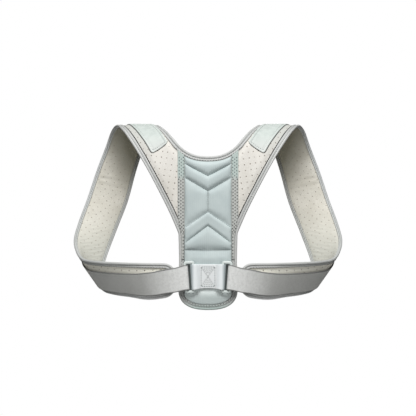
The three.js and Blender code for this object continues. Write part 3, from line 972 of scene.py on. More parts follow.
# Silkier thread for the quilting: cooler and a little glossier
QUILT_THREAD = BrushedCloth("quilting_thread", "#728080", "#606e6e", 0.7, grain=0.6, relief=0.1)
# Matt emulsion paint: a flat, nearly white ground
FLOOR_PAINT = BrushedCloth("matt_floor_paint", "#f2f2f0", "#ececea", 0.9, grain=4.0)


# Mesh making


def bent_slab(columns: int, rows: int, place: Place, chart: Chart) -> BMesh:
    """A flat slab of cells, bent to its shape.

    Args:
        columns: Cells across.
        rows: Cells along.
        place: The point for shares across and along, and the face: 1 outer, -1 inner.
        chart: The flat place, in millimetres, for the same two shares.

    Returns:
        A closed mesh in millimetres, with its flat UV map.
    """
    mesh = bmesh.new()
    bmesh.ops.create_grid(mesh, x_segments=columns, y_segments=rows, size=GRID_HALF)
    bmesh.ops.solidify(mesh, geom=mesh.faces[:], thickness=1.0)
    _set_in_order(mesh)
    for face in mesh.faces:
        outer = [vert.co.z > -GRID_HALF for vert in face.verts]
        face.material_index = OUTER if all(outer) else RIM if any(outer) else INNER
    _lay_chart(mesh, chart)
    for vert in mesh.verts:
        side = 1 if vert.co.z > -GRID_HALF else -1
        vert.co = place(vert.co.x + GRID_HALF, vert.co.y + GRID_HALF, side)
    bmesh.ops.recalc_face_normals(mesh, faces=mesh.faces[:])
    return mesh


def bent_tube(around: int, along: int, place: Callable[[float, float], Vector], chart: Chart) -> BMesh:
    """A closed loop of a closed section.

    Args:
        around: Cells round the section.
        along: Cells along the loop.
        place: The point for shares round the section and along the loop.
        chart: The flat place for the same two shares.

    Returns:
        A closed mesh in millimetres, with its flat UV map.
    """
    mesh = bmesh.new()
    bmesh.ops.create_grid(mesh, x_segments=around, y_segments=along, size=GRID_HALF)
    _lay_chart(mesh, chart)
    for vert in mesh.verts:
        vert.co = place(vert.co.x + GRID_HALF, vert.co.y + GRID_HALF)
    bmesh.ops.remove_doubles(mesh, verts=mesh.verts[:], dist=WELD)
    bmesh.ops.recalc_face_normals(mesh, faces=mesh.faces[:])
    return mesh


def _set_in_order(mesh: BMesh) -> None:
    """Sorts a flat slab's elements by their place, because solidify's own order varies from run to run.

    Args:
        mesh: The slab, one unit wide, long and thick.
    """
    layer_step, row_step = 1e6, 1e4  # more than all the rows of a layer, and more than a row's width

    def rank(element: Any) -> float:
        """A number that rises by layer, by row and then across, from the sum of an element's corners."""
        total = sum((vert.co for vert in getattr(element, "verts", (element,))), Vector())
        return round(total.z) * layer_step + total.y * row_step + total.x

    for elements in (mesh.verts, mesh.edges, mesh.faces):
        elements.sort(key=rank)
        elements.index_update()


def _lay_chart(mesh: BMesh, chart: Chart) -> None:
    """Writes the flat UV map of a grid that isn't bent yet.

    Args:
        mesh: The grid.
        chart: The flat place for shares across and along.
    """
    layer = mesh.loops.layers.uv.new(FLAT)
    for face in mesh.faces:
        for loop in face.loops:
            u, v = chart(loop.vert.co.x + GRID_HALF, loop.vert.co.y + GRID_HALF)
            loop[layer].uv = (u * MM, v * MM)


def finished(
    name: str,
    mesh: BMesh,
    finish: Finish,
    side: Side = Side.RIGHT,
    inner: Finish | None = None,
    rim: Finish | None = None,
) -> Piece:
    """Turns a mesh in millimetres into a piece of the scene that rides on the body.

    Args:
        name: The piece's name.
        mesh: Its mesh, built for the right side, which is freed.
        finish: What it is made of.
        side: The side that it is for.
        inner: The finish of a slab's inner face, where it differs.
        rim: The finish of a slab's edge, where it differs.

    Returns:
        The piece.
    """
    bmesh.ops.scale(mesh, vec=(side.value * MM, MM, MM), verts=mesh.verts[:])
    bmesh.ops.recalc_face_normals(mesh, faces=mesh.faces[:])
    data = bpy.data.meshes.new(name)
    mesh.to_mesh(data)
    mesh.free()
    return shown(name, data, finish, inner or finish, rim or finish)


def shown(name: str, data: bpy.types.Mesh, *finishes: Finish) -> Piece:
    """Links a finished mesh to the scene, smooth and dressed, on the body.

    Args:
        name: The piece's name.
        data: Its mesh in metres.
        finishes: The finish of each slot.

    Returns:
        The piece.
    """
    data.polygons.foreach_set("use_smooth", [True] * len(data.polygons))
    for finish in finishes:
        data.materials.append(finish.material())
    piece = bpy.data.objects.new(name, data)
    bpy.context.scene.collection.objects.link(piece)
    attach(piece, BODY)
    LOG.info("%s: %d faces", name, len(data.polygons))
    return piece


@dataclass(frozen=True)
class Thread:
    """Stitches of one size and thread."""

    finish: Finish
    length: float = 2.8
    width: float = 0.75
    height: float = 0.5

    def run(self, path: Path, pitch: float, ragged: float = 0.0) -> list[Matrix]:
        """Stitches along a path.

        Args:
            path: Points with the direction that faces out.
            pitch: From one stitch to the next.
            ragged: How far a stitch's ends stray from the path.

        Returns:
            A placing matrix for each stitch.
        """
        rows = resampled(path, pitch)
        places = []
        for (start, out), (end, _) in zip(rows, rows[1:]):
            across = out.cross(end - start).normalized() * ragged
            strayed = (spot + across * noise.noise(spot * STRAY_SCALE) for spot in (start, end))
            places.append(self.between(*strayed, out))
        return places

    def between(self, start: Vector, end: Vector, out: Vector) -> Matrix:
        """One stitch in the middle of a span.

        Args:
            start: Where the span starts.
            end: Where it ends.
            out: The direction that faces out.

        Returns:
            The placing matrix.
        """
        way = (end - start).normalized()
        across = out.cross(way).normalized()
        turn = Matrix((way, across, way.cross(across))).transposed().to_4x4()
        size = Matrix.Diagonal((self.length / 2, self.width / 2, self.height / 2, 1))
        return Matrix.Translation((start + end) / 2) @ turn @ size

    def sew(self, name: str, places: Iterable[Matrix], slot: str, side: Side = Side.RIGHT) -> None:
        """Joins stitches to one piece.

        Args:
            name: The piece's name.
            places: The placing matrix of each stitch.
            slot: The material slot of the cloth that is sewn; not used.
            side: The side that they are for.
        """
        stitch = bmesh.new()
        bmesh.ops.create_icosphere(stitch, subdivisions=1, radius=1.0)
        shape = [vert.co.copy() for vert in stitch.verts]
        cells = [[vert.index for vert in face.verts] for face in stitch.faces]
        stitch.free()
        mirror = Matrix.Diagonal((side.value * MM, MM, MM, 1))
        points: list[Vector] = []
        faces: list[list[int]] = []
        for place in places:
            base = len(points)
            moved = mirror @ place
            points.extend(moved @ co for co in shape)
            order = 1 if moved.determinant() > 0 else -1
            faces.extend([base + i for i in cell[::order]] for cell in cells)
        data = bpy.data.meshes.new(name)
        data.from_pydata(points, [], faces)
        shown(name, data, self.finish)


# The sub-assemblies


@dataclass(frozen=True)
class Crease:
    """Slanting, patchy ripples where a strap bends, round one of its sections, fading along their reach."""

    section: float
    reach: float
    rise: float
    wave: float
    lean: float
    patch: float = 14.0
    even: float = 0.6
    uneven: float = 0.8


@dataclass
class ShoulderStrap:
    """A padded strap from the panel seam over the shoulder and back under the arm."""

    surface: StrapSurface
    side: Side
    half: float = 2.05
    edge_half: float = 0.75
    outer_rise: float = 8.0
    inner_rise: float = 4.5
    margin: float = 0.6
    columns: int = 34
    rows: int = 420
    tip_gather: float = 1.25
    beside_seam: Pair = (14.0, 12.0)
    seam_pucker: float = 0.45
    slow_pucker: float = 0.3
    pucker_long: float = 17.0
    pucker_wide: float = 40.0
    faces_apart: float = 5.0
    slow_scale: float = 0.37
    outer_share: float = 0.4
    creases: tuple[Crease, ...] = (
        Crease(10.35, reach=18.0, rise=0.42, wave=11.0, lean=0.2),
        Crease(12.2, reach=16.0, rise=0.4, wave=8.0, lean=-0.5),
        Crease(13.2, reach=28.0, rise=0.9, wave=8.0, lean=-0.8),
    )

    def build(self) -> Piece:
        """Returns:
            The strap's piece.
        """
        mesh = bent_slab(self.columns, self.rows, self._place, self._chart)
        name = self.side.named("shoulder_strap")
        strap = finished(self.side.named("padded_strap"), mesh, NEOPRENE, self.side, LINING)
        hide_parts(name)
        return strap

    def _spot(self, share: float, along: float) -> tuple[StrapFrame, float]:
        """The frame and the distance across it for a cell's corner.

        Args:
            share: Across, 0 to 1.
            along: Along, 0 to 1.

        Returns:
            The frame and the distance from its neck edge.
        """
        length = self.surface.total * (1 - (1 - along) ** self.tip_gather)
        frame = self.surface.at_length(length)
        cut = rounded_inset(frame.from_tip, TONGUE_RADIUS)
        return frame, mix(cut, frame.width - cut, crowded(share))

    def _place(self, share: float, along: float, face: int) -> Vector:
        """Pressed flat in the binding, then full, with slight puckers beside the seams.

        Args:
            share: Across, 0 to 1.
            along: Along, 0 to 1.
            face: 1 outside, -1 inside.

        Returns:
            The point.
        """
        frame, across = self._spot(share, along)
        cut = rounded_inset(frame.from_tip, TONGUE_RADIUS)
        neck_slant, arm_slant = frame.slants()
        inside = min((across - cut) * neck_slant, (frame.width - cut - across) * arm_slant, frame.from_tip)
        leg, rise = (BINDING_LEG, self.outer_rise) if face > 0 else (INNER_LEG, self.inner_rise)
        full = smooth_step((inside - leg - self.margin) / rise)
        seam = full * (1 - ramp(inside, *self.beside_seam))
        spot = Vector((frame.length / self.pucker_long, across / self.pucker_wide, face * self.faces_apart))
        pucker = self.seam_pucker * seam * noise.noise(spot)
        pucker += self.slow_pucker * full * noise.noise(spot * self.slow_scale)
        pucker += full * self._crease(frame.length, across)
        lift = face * mix(self.edge_half, self.half, full) + pucker * (self.outer_share if face > 0 else 1.0)
        return frame.point(across, lift)

    def _crease(self, length: float, across: float) -> float:
        """The height of the creases at a place.

        Args:
            length: The length from the panel seam.
            across: The distance from the neck edge.

        Returns:
            The height.
        """
        height = 0.0
        for crease in self.creases:
            away = (length - self.surface.length_at(crease.section)) / crease.reach
            if abs(away) < 1:
                ripple = math.sin(2 * math.pi * (length + crease.lean * across) / crease.wave)
                spot = Vector((across / crease.patch, length / crease.patch, crease.section))
                patchy = crease.even + crease.uneven * noise.noise(spot)
                height += crease.rise * (1 - away * away) * ripple * patchy
        return height

    def _chart(self, share: float, along: float) -> Pair:
        """The strap laid flat."""
        frame, across = self._spot(share, along)
        return self.surface.flat(frame.length, across / frame.width)


@dataclass
class ShoulderTab:
    """A brushed tab sewn on the strap over the shoulder's crest."""

    surface: StrapSurface
    side: Side
    strap: Piece
    back_neck: float = 3.4
    back_arm: float = 3.7
    front: float = 8.5
    from_neck_edge: float = 8.0
    from_arm_edge: float = 18.0
    corner: float = 5.0
    under: float = 2.2
    wide: float = 36.0
    thick: float = 1.5
    border: float = 4.4
    shade_row_out: float = 0.5
    border_pitch: float = 3.2
    shade_row_pitch: float = 2.9
    thread_sunk: float = 0.4
    sewn_deep: float = 0.7
    sewn_half: float = 1.5
    edge_round: Pair = (0.8, 0.45)
    line_steps: int = 60
    columns: int = 26
    rows: int = 90

    @property
    def long(self) -> float:
        """The tab's length along its middle."""
        back = self.surface.length_at((self.back_neck + self.back_arm) / 2)
        return self.surface.length_at(self.front) - back

    def build(self) -> None:
        """Builds the tab with its border of stitches."""
        mesh = bent_slab(self.columns, self.rows, self._place, self._chart)
        # the rim's dark finish is partly painted shade along the tab's edge
        tab = finished(self.side.named("loop_tab"), mesh, TAB_CLOTH, self.side, rim=TAB_RIM)
        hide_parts(self.side.named("shoulder_tab"))
        self.long * MM
        self._sew()

    def _frame(self, share: float, run: float) -> StrapFrame:
        """The strap under a point of the tab; the tab's back end is cut aslant."""
        back = self.surface.length_at(mix(self.back_neck, self.back_arm, share))
        return self.surface.at_length(mix(back, self.surface.length_at(self.front), run / self.long))

    def _point(self, share: float, run: float, lift: float) -> Vector:
        """A point of the tab, by its share across and its run from the back end.

        Args:
            share: Across, 0 to 1.
            run: The run from the back end.
            lift: The height over the strap's middle.

        Returns:
            The point.
        """
        frame = self._frame(share, run)
        cut = rounded_inset(min(run, self.long - run), self.corner)
        across = mix(self.from_neck_edge + cut, frame.width - self.from_arm_edge - cut, share)
        return frame.point(across, lift)

    def _place(self, share: float, along: float, face: int) -> Vector:
        """Rounded at its edges, and drawn in where the border is sewn.

        Args:
            share: Across, 0 to 1.
            along: Along, 0 to 1.
            face: 1 outside, -1 inside.

        Returns:
            The point.
        """
        share, run = crowded(share), crowded(along) * self.long
        wide = self._frame(share, run).width - self.from_neck_edge - self.from_arm_edge
        inside = min(share * wide, (1 - share) * wide, run, self.long - run)
        if face < 0:
            return self._point(share, run, self.under)
        sewn = self.sewn_deep * groove(inside, self.border, self.sewn_half)
        lift = self.under + self.thick * rounded_edge(inside, *self.edge_round) - sewn
        return self._point(share, run, lift)

    def _chart(self, share: float, along: float) -> Pair:
        """The tab laid flat."""
        return crowded(along) * self.long, crowded(share) * self.wide

    def _sew(self) -> None:
        """The border row, as far inside every edge, and a dark row over the arm edge and the back end that
        paints the tab's edge shadow.
        """
        inset = self.border / self.wide
        far = self.long - self.border
        border = [(inset, self.border), (1 - inset, self.border), (1 - inset, far), (inset, far)]
        outside = 1 + self.shade_row_out / self.wide
        edge = [(0.0, 0.0), (outside, 0.0), (outside, self.long)]
        pale = Thread(PALE_THREAD, length=2.3, width=0.9, height=0.6)
        dark = Thread(DARK_THREAD, length=3.6, width=1.7, height=0.9)
        top = self.under + self.thick - self.thread_sunk
        rows = (
            ("tab_stitches", pale, border + border[:1], top, self.border_pitch),
            # a dark row just outside the arm edge and the back end, painting the tab's edge shadow
            ("tab_shade_stitches", dark, edge, self.under + self.shade_row_out, self.shade_row_pitch),
        )
        for name, thread, corners, lift, pitch in rows:
            places = thread.run(self._line(corners, lift), pitch)
            thread.sew(self.side.named(name), places, "tab", self.side)

    def _line(self, corners: Sequence[Pair], lift: float) -> Path:
        """A line over the tab from corner to corner.

        Args:
            corners: The share across and the run of each corner.
            lift: The line's height over the strap's middle.

        Returns:
            Points with the direction that faces out.
        """
        path = []
        for (share, run), (next_share, next_run) in zip(corners, corners[1:]):
            for step in range(self.line_steps + 1):
                part = step / self.line_steps
                here = mix(share, next_share, part), mix(run, next_run, part)
                point = self._point(*here, lift)
                path.append((point, (self._point(*here, lift + 1) - point).normalized()))
        return path


@dataclass
class Webbing:
    """Webbing sewn to the strap's tongue, led round the ring's outer bar and back along the strap."""

    surface: StrapSurface
    side: Side
    lift: float = 3.7
    stack: float = 5.6
    sewn: float = 30.0
    stacked: float = 36.0
    settled: float = 58.0
    ring_z: float = -232.2
    lean: float = math.radians(4.5)
    slack: float = 0.6
    to_section: float = 13.0
    near_tip: tuple[float, ...] = (0, 0.7, 2.2, 4.5, 7.7, 8.9, 11, 14, 18, 23)
    free_from: float = 34.0
    free_steps: int = 16
    turn_degrees: range = range(-90, -271, -30)
    samples: int = 12
    step: float = 1.5
    stripe_deep: float = 0.12
    stripe_at: float = 2.6
    stripe_half: float = 1.0
    columns: int = 24
    line: tuple[Pair, ...] = ((0, 4.5), (12, 6.5), (30, 10.5), (60, 15.5), (90, 16.5))
    path: list[tuple[Vector, Vector, Vector]] = field(default_factory=list)

    def build(self) -> None:
        """Builds the webbing."""
        self._lead()
        mesh = bent_slab(self.columns, len(self.path) - 1, self._place, self._chart)
        webbing = finished(self.side.named("strap_webbing"), mesh, GREY_WEBBING, self.side)
        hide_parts(self.side.named("webbing"))

    def _on_strap(self, from_tip: float, lift: float) -> tuple[Vector, Vector]:
        """The webbing's two edges where it lies on the strap.

        Args:
            from_tip: The distance from the tongue's tip.
            lift: The height over the strap's middle.

        Returns:
            The upper and the lower edge.
        """
        frame = self.surface.at_length(self.surface.total - from_tip)
        upper = frame.width - table_value(self.line, from_tip)
        return frame.point(upper, lift), frame.point(upper - WEB_WIDTH, lift)

    def _lead(self) -> None:
        """Lays the webbing's path: middle, upper edge and lower edge at even steps."""
        tongue = [self._on_strap(stop, self.lift) for stop in reversed((*self.near_tip, self.sewn))]
        turn = BAR_TURN + WEB_THICK / 2
        ring = []
        for degrees in self.turn_degrees:
            angle = math.radians(degrees)
            ends = []
            for up in (WEB_WIDTH / 2, -WEB_WIDTH / 2):
                z = self.ring_z + up
                bar = RING_X + RING_HALF_WIDTH - self.slack + (z - RING_Z) * math.tan(self.lean)
                ends.append(on_back(bar + turn * math.cos(angle), RING_LIFT + turn * math.sin(angle), z))
            ring.append(tuple(ends))
        settle = ((self.stacked, self.stack), (self.settled, self.lift))
        free = self.surface.total - self.surface.length_at(self.to_section)
        stops = list(self.near_tip)
        stops += [mix(self.free_from, free, step / self.free_steps) for step in range(self.free_steps + 1)]
        outer = [self._on_strap(stop, table_value(settle, stop)) for stop in stops]
        edges = tongue + ring + outer
        upper = EdgeCurve(tuple(row[0] for row in edges))
        lower = EdgeCurve(tuple(row[1] for row in edges))
        count = self.samples * len(edges)
        fine = []
        for step in range(count + 1):
            a, b = upper.at(step / count), lower.at(step / count)
            fine.append(((a + b) / 2, a, b))
        self.path = resampled(fine, self.step)

    def _frame(self, along: float) -> tuple[Vector, Vector, Vector]:
        """The two edges and the outward direction at a share of the path.

        Args:
            along: Along, 0 to 1.

        Returns:
            The upper edge, the lower edge and the direction.
        """
        last = len(self.path) - 1
        index = round(along * last)
        way = self.path[min(index + 1, last)][0] - self.path[max(index - 1, 0)][0]
        _, upper, lower = self.path[index]
        return upper, lower, (upper - lower).cross(way).normalized()

    def _place(self, share: float, along: float, face: int) -> Vector:
        """Even webbing with rounded selvedges.

        Args:
            share: Across, 0 to 1.
            along: Along, 0 to 1.
            face: 1 outside, -1 inside.

        Returns:
            The point.
        """
        upper, lower, normal = self._frame(along)
        across = crowded(share)
        inside = min(across, 1 - across) * WEB_WIDTH
        stripe = self.stripe_deep * groove(inside, self.stripe_at, self.stripe_half)
        half = WEB_THICK / 2 * rounded_edge(inside, *SELVEDGE) - stripe
        return upper.lerp(lower, across) + normal * (face * half)

    def _chart(self, share: float, along: float) -> Pair:
        """The webbing laid flat."""
        return along * (len(self.path) - 1) * self.step, crowded(share) * WEB_WIDTH


@dataclass
class Ring:
    """A flat moulded ring that joins the webbing to the keeper."""

    side: Side
    bar_half: float = 2.0
    end_half: float = 2.3
    thick_half: float = 1.6
    half_height: float = 22.3
    corner: float = 2.2
    corner_steps: int = 8
    step: float = 0.75
    square: float = 3.2
    girth: float = 10.0
    length: float = 100.0
    around: int = 24
    along: int = 160
    loop: list[tuple[Vector, ...]] = field(default_factory=list)

    def build(self) -> None:
        """Builds the ring."""
        self._lead()
        mesh = bent_tube(self.around, self.along, self._place, self._chart)
        tilt = Matrix.Rotation(RING_TILT, 3, "Y")
        bmesh.ops.rotate(mesh, cent=(0, 0, 0), matrix=tilt, verts=mesh.verts[:])
        bmesh.ops.translate(mesh, vec=on_back(RING_X, RING_LIFT, RING_Z), verts=mesh.verts[:])
        ring = finished(self.side.named("moulded_ring"), mesh, RING_PLASTIC, self.side)
        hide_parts(self.side.named("ring"))

    def _lead(self) -> None:
        """Lays the middle of the bars all the way round, with the direction to the outside."""
        path = []
        quarter = math.pi / 2
        wide, tall = RING_HALF_WIDTH - self.corner, self.half_height - self.corner
        for corner, (right, up) in enumerate(((1, 1), (-1, 1), (-1, -1), (1, -1))):
            centre = Vector((right * wide, 0, up * tall))
            for step in range(self.corner_steps + 1):
                angle = corner * quarter + quarter * step / self.corner_steps
                out = Vector((math.cos(angle), 0, math.sin(angle)))
                path.append((centre + out * self.corner, out))
        path.append(path[0])
        self.loop = resampled(path, self.step)

    def _chart(self, around: float, along: float) -> Pair:
        """The bars laid flat."""
        return along * self.length, around * self.girth

    def _place(self, around: float, along: float) -> Vector:
        """A squarish section, a little taller at the ring's two ends.

        Args:
            around: Round the section, 0 to 1.
            along: Round the ring, 0 to 1.

        Returns:
            The point.
        """
        place = along * (len(self.loop) - 1)
        index = min(int(place), len(self.loop) - 2)
        point, out = (a.lerp(b, place - index) for a, b in zip(self.loop[index], self.loop[index + 1]))
        angle = 2 * math.pi * around
        power = 2 / self.square
        wide = math.copysign(abs(math.cos(angle)) ** power, math.cos(angle))
        deep = math.copysign(abs(math.sin(angle)) ** power, math.sin(angle))
        half = mix(self.bar_half, self.end_half, abs(out.normalized().z))
        return point + out.normalized() * (wide * half) + Vector((0, deep * self.thick_half, 0))


@dataclass
class BackPanel:
    """The panel's body and lining, which shows from the front."""

    inner_full: float = 1.9
    side_inset: float = 0.3
    margin: float = 0.4
    rise: float = 6.0
    wing_from: float = -172.0
    wing_slope: float = 0.6
    pucker: float = 0.3
    pucker_size: float = 22.0
    pucker_layer: float = 3.0
    columns: int = 36
    rows: int = 90

    def build(self) -> None:
        """Builds the panel."""
        mesh = bent_slab(self.columns, self.rows, self._place, self._spot)
        panel = finished("panel_lining", mesh, NEOPRENE, inner=LINING)
        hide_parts("back_panel")

    def _spot(self, share: float, along: float) -> Pair:
        """A cell's corner as x and z; the panel is flat already, so they chart it too.

        Args:
            share: Across, 0 to 1.
            along: Along, 0 to 1.

        Returns:
            The corner's x and z.
        """
        column = 2 * crowded(share) - 1
        down = crowded(along)
        z = mix(neck_z(column * NECK_HALF), tail_z(column * TAIL_HALF), down)
        return column * (table_value(PANEL_SIDE, z) - self.side_inset), z

    def _place(self, share: float, along: float, face: int) -> Vector:
        """Flat on the outside and softly padded on the inside.

        Args:
            share: Across, 0 to 1.
            along: Along, 0 to 1.
            face: 1 outside, -1 inside.

        Returns:
            The point.
        """
        x, z = self._spot(share, along)
        if face > 0:
            return on_back(x, PANEL_HALF, z)
        beside = table_value(PANEL_SIDE, z) - abs(x) + max(0.0, z - self.wing_from) * self.wing_slope
        inside = min(beside, neck_z(x) - z, z - tail_z(x))
        full = smooth_step((inside - INNER_LEG - self.margin) / self.rise)
        spot = Vector((x / self.pucker_size, z / self.pucker_size, self.pucker_layer))
        pucker = self.pucker * full * noise.noise(spot)
        return on_back(x, -mix(PANEL_HALF, self.inner_full, full) - pucker, z)


@dataclass(frozen=True)
class Band:
    """A band of quilting: its lower line's heights on the spine and beside it, its crown and its cap."""

    spine: float
    beside: float
    crown: float
    cap: float


@dataclass
class QuiltedPad:
    """The quilted pad on the back, in bands between its seams, swelled by cloth simulation.

    A pair that names where something begins holds its start and the run to its full effect.
    """

    under: float = 1.1
    edge: float = 1.0
    inset: float = BINDING_LEG + 0.4
    columns: int = 48
    rows_per_band: int = 18
    side_gather: float = 1.15
    start: float = 0.72
    pillow_power: float = 0.55
    side_square: float = 7
    side_power: float = 0.6
    dip_power: float = 0.6
    pressure: float = 1500.0
    stiffness: float = 8.0
    bending: float = 0.02
    mass: float = 0.001
    quality: int = 6
    frames: int = 16
    sewn_slack: float = 0.02
    pucker: float = 0.6
    pucker_size: float = 4.5
    puckers_from: Pair = (2.2, 0.7)
    puckers_to: Pair = (3.2, 2.2)
    keeper_cap: float = 4.3
    ring_cap: float = 3.0
    pressed_from: Pair = (-203.0, -9.0)
    above_tail: Pair = (-263.0, 7.0)
    beside_keeper: Pair = (15.0, 5.0)
    freed_from: Pair = (-249.0, -5.0)
    beside_spine: Pair = (8.0, 10.0)
    freed_share: float = 0.8
    tail_slope: float = 0.4
    bands: tuple[Band, ...] = (
        Band(-78.4, -59.4, 5.0, 6.5),
        Band(-101.2, -79.9, 5.5, 6.5),
        Band(-133.1, -157.0, 5.0, 5.3),
        Band(-153.6, -180.7, 5.0, 4.9),
        Band(-191.3, -190.0, 5.0, 6.5),
        Band(0.0, 0.0, 2.7, 6.5),
    )
    spine_band: int = 2
    spine_half: float = 2.0
    pitch: float = 3.1
    sewn_margin: float = 1.5
    thread_lift: float = 0.12
    spine_lift: float = 0.2
    slope_step: float = 0.1

    def build(self) -> None:
        """Builds the pad, swells it and sews its lines."""
        mesh = bent_slab(self.columns, len(self.bands) * self.rows_per_band, self._place, self._chart)
        pad = finished("quilted_pad", mesh, QUILT_SATIN)
        self._swell(pad)
        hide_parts("back_pad")
        self._sew()

    def _swell(self, pad: Piece) -> None:
        """Blows the pad up as cloth between its sewn lines, then holds it under its cap.

        Args:
            pad: The pad's piece, whose mesh takes the swelled shape.
        """
        seam = (PANEL_Y - self.under - self.edge - self.sewn_slack) * MM
        sewn = [vert.index for vert in pad.data.vertices if vert.co.y > seam]
        pad.vertex_groups.new(name="sewn").add(sewn, 1.0, "REPLACE")
        cloth = pad.modifiers.new("swell", "CLOTH")
        cloth.settings.quality = self.quality
        cloth.settings.mass = self.mass
        cloth.settings.use_pressure = True
        cloth.settings.uniform_pressure_force = self.pressure
        cloth.settings.tension_stiffness = self.stiffness
        cloth.settings.compression_stiffness = self.stiffness
        cloth.settings.shear_stiffness = self.stiffness / 3
        cloth.settings.bending_stiffness = self.bending
        cloth.settings.vertex_group_mass = "sewn"
        cloth.settings.effector_weights.gravity = 0.0
        cloth.collision_settings.use_collision = False
        cloth.point_cache.frame_start = 1
        cloth.point_cache.frame_end = self.frames
        scene = bpy.context.scene
        for frame in range(1, self.frames + 1):
            scene.frame_set(frame)
        swelled = pad.evaluated_get(bpy.context.evaluated_depsgraph_get()).data
        places = [vert.co / MM for vert in swelled.vertices]
        pad.modifiers.remove(cloth)
        pad.vertex_groups.clear()
        scene.frame_set(1)
        for vert, place in zip(pad.data.vertices, places):
            vert.co = self._held(place) * MM
        pad.data.update()

    def _held(self, place: Vector) -> Vector:
        """A swelled point under the cap: pressed by the keeper and the rings, puckered beside the seams.

        Args:
            place: The swelled point.

        Returns:
            The point under its cap.
        """
        lift = PANEL_Y - place.y
        if lift <= self.under + self.edge + self.sewn_slack:
            return place
        near = ramp(lift, *self.puckers_from) * (1 - ramp(lift, *self.puckers_to))
        spot = Vector((place.x / self.pucker_size, place.z / self.pucker_size, 1.0))
        lift += self.pucker * near * noise.noise(spot)
        freed = ramp(place.z, *self.freed_from) * (1 - ramp(abs(place.x), *self.beside_spine))
        pressed = ramp(place.z, *self.pressed_from) * (1 - self.freed_share * freed)
        under_ring = ramp(place.z, *self.above_tail) * ramp(abs(place.x), *self.beside_keeper)
        band = sum(place.z < self.line_z(number, place.x) for number in range(1, len(self.bands)))
        cap = mix(self.bands[band].cap, mix(self.keeper_cap, self.ring_cap, under_ring), pressed)
        above_foot = max(0.0, place.z - self.line_z(len(self.bands), place.x))
        lift = min(lift, self.under + self.edge + self.tail_slope * above_foot)
        return on_back(place.x, soft_least(cap, lift), place.z)

    def _sew(self) -> None:
        """A row of stitches down each quilting line and down the spine seam."""
        thread = Thread(QUILT_THREAD, length=2.5, width=0.85, height=0.6)
        lift = self.under + self.edge + self.thread_lift
        reach = PAD_HALF - self.sewn_margin
        places = []
        for number in range(1, len(self.bands)):
            for sign in (-1, 1):
                ends = (0.0, sign * reach)
                path = [(on_back(x, lift, self.line_z(number, x)), BACKWARD) for x in ends]
                places += thread.run(path, self.pitch)
        thread.sew("quilting_stitches", places, "quilting")
        spine = Thread(DARK_THREAD, length=4.4, width=1.3, height=1.0)
        top = self.line_z(self.spine_band, 0) - self.sewn_margin
        foot = self.line_z(self.spine_band + 1, 0) + self.sewn_margin
        path = [(on_back(0, lift + self.spine_lift, z), BACKWARD) for z in (top, foot)]
        spine.sew("spine_stitches", spine.run(path, self.pitch), "quilting")

    def line_z(self, number: int, x: float) -> float:
        """The height of a quilting line, counted from the neckline down.

        Args:
            number: The line's number, 0 at the neckline.
            x: Where it is read.

        Returns:
            The height.
        """
        if number == 0:
            step = self.slope_step
            slope = (neck_z(x + step) - neck_z(x - step)) / (2 * step)
            return neck_z(x) - self.inset * math.hypot(1, slope)
        if number == len(self.bands):
            return tail_z(x, self.inset)
        band = self.bands[number - 1]
        return mix(band.spine, band.beside, abs(x) / PAD_HALF)

    def _spot(self, share: float, along: float) -> tuple[float, float, int, float]:
        """A cell's corner: x, z, its band, and its share of the way down the band.

        Args:
            share: Across, 0 to 1.
            along: Along, 0 to 1.

        Returns:
            The corner's x and z, its band and its share.
        """
        column = 2 * share - 1
        x = PAD_HALF * math.copysign(1 - (1 - abs(column)) ** self.side_gather, column)
        row = along * len(self.bands)
        band = min(int(row + 1e-6), len(self.bands) - 1)
        down = row - band
        eased = 0.5 * (down + crowded(down))
        return x, mix(self.line_z(band, x), self.line_z(band + 1, x), eased), band, eased

    def _place(self, share: float, along: float, face: int) -> Vector:
        """Flat underneath and crowned in each band.

        Args:
            share: Across, 0 to 1.
            along: Along, 0 to 1.
            face: 1 outside, -1 inside.

        Returns:
            The point.
        """
        x, z, band, down = self._spot(share, along)
        if face < 0:
            return on_back(x, self.under, z)
        pillow = max(0.0, 4 * down * (1 - down)) ** self.pillow_power
        beside = max(0.0, 1 - abs(x / PAD_HALF) ** self.side_square) ** self.side_power
        dip = smooth_step(abs(x) / self.spine_half) ** self.dip_power if band == self.spine_band else 1.0
        crown = self.start * self.bands[band].crown
        return on_back(x, self.under + self.edge + crown * pillow * beside * dip, z)

    def _chart(self, share: float, along: float) -> Pair:
        """The pad laid flat."""
        return self._spot(share, along)[:2]


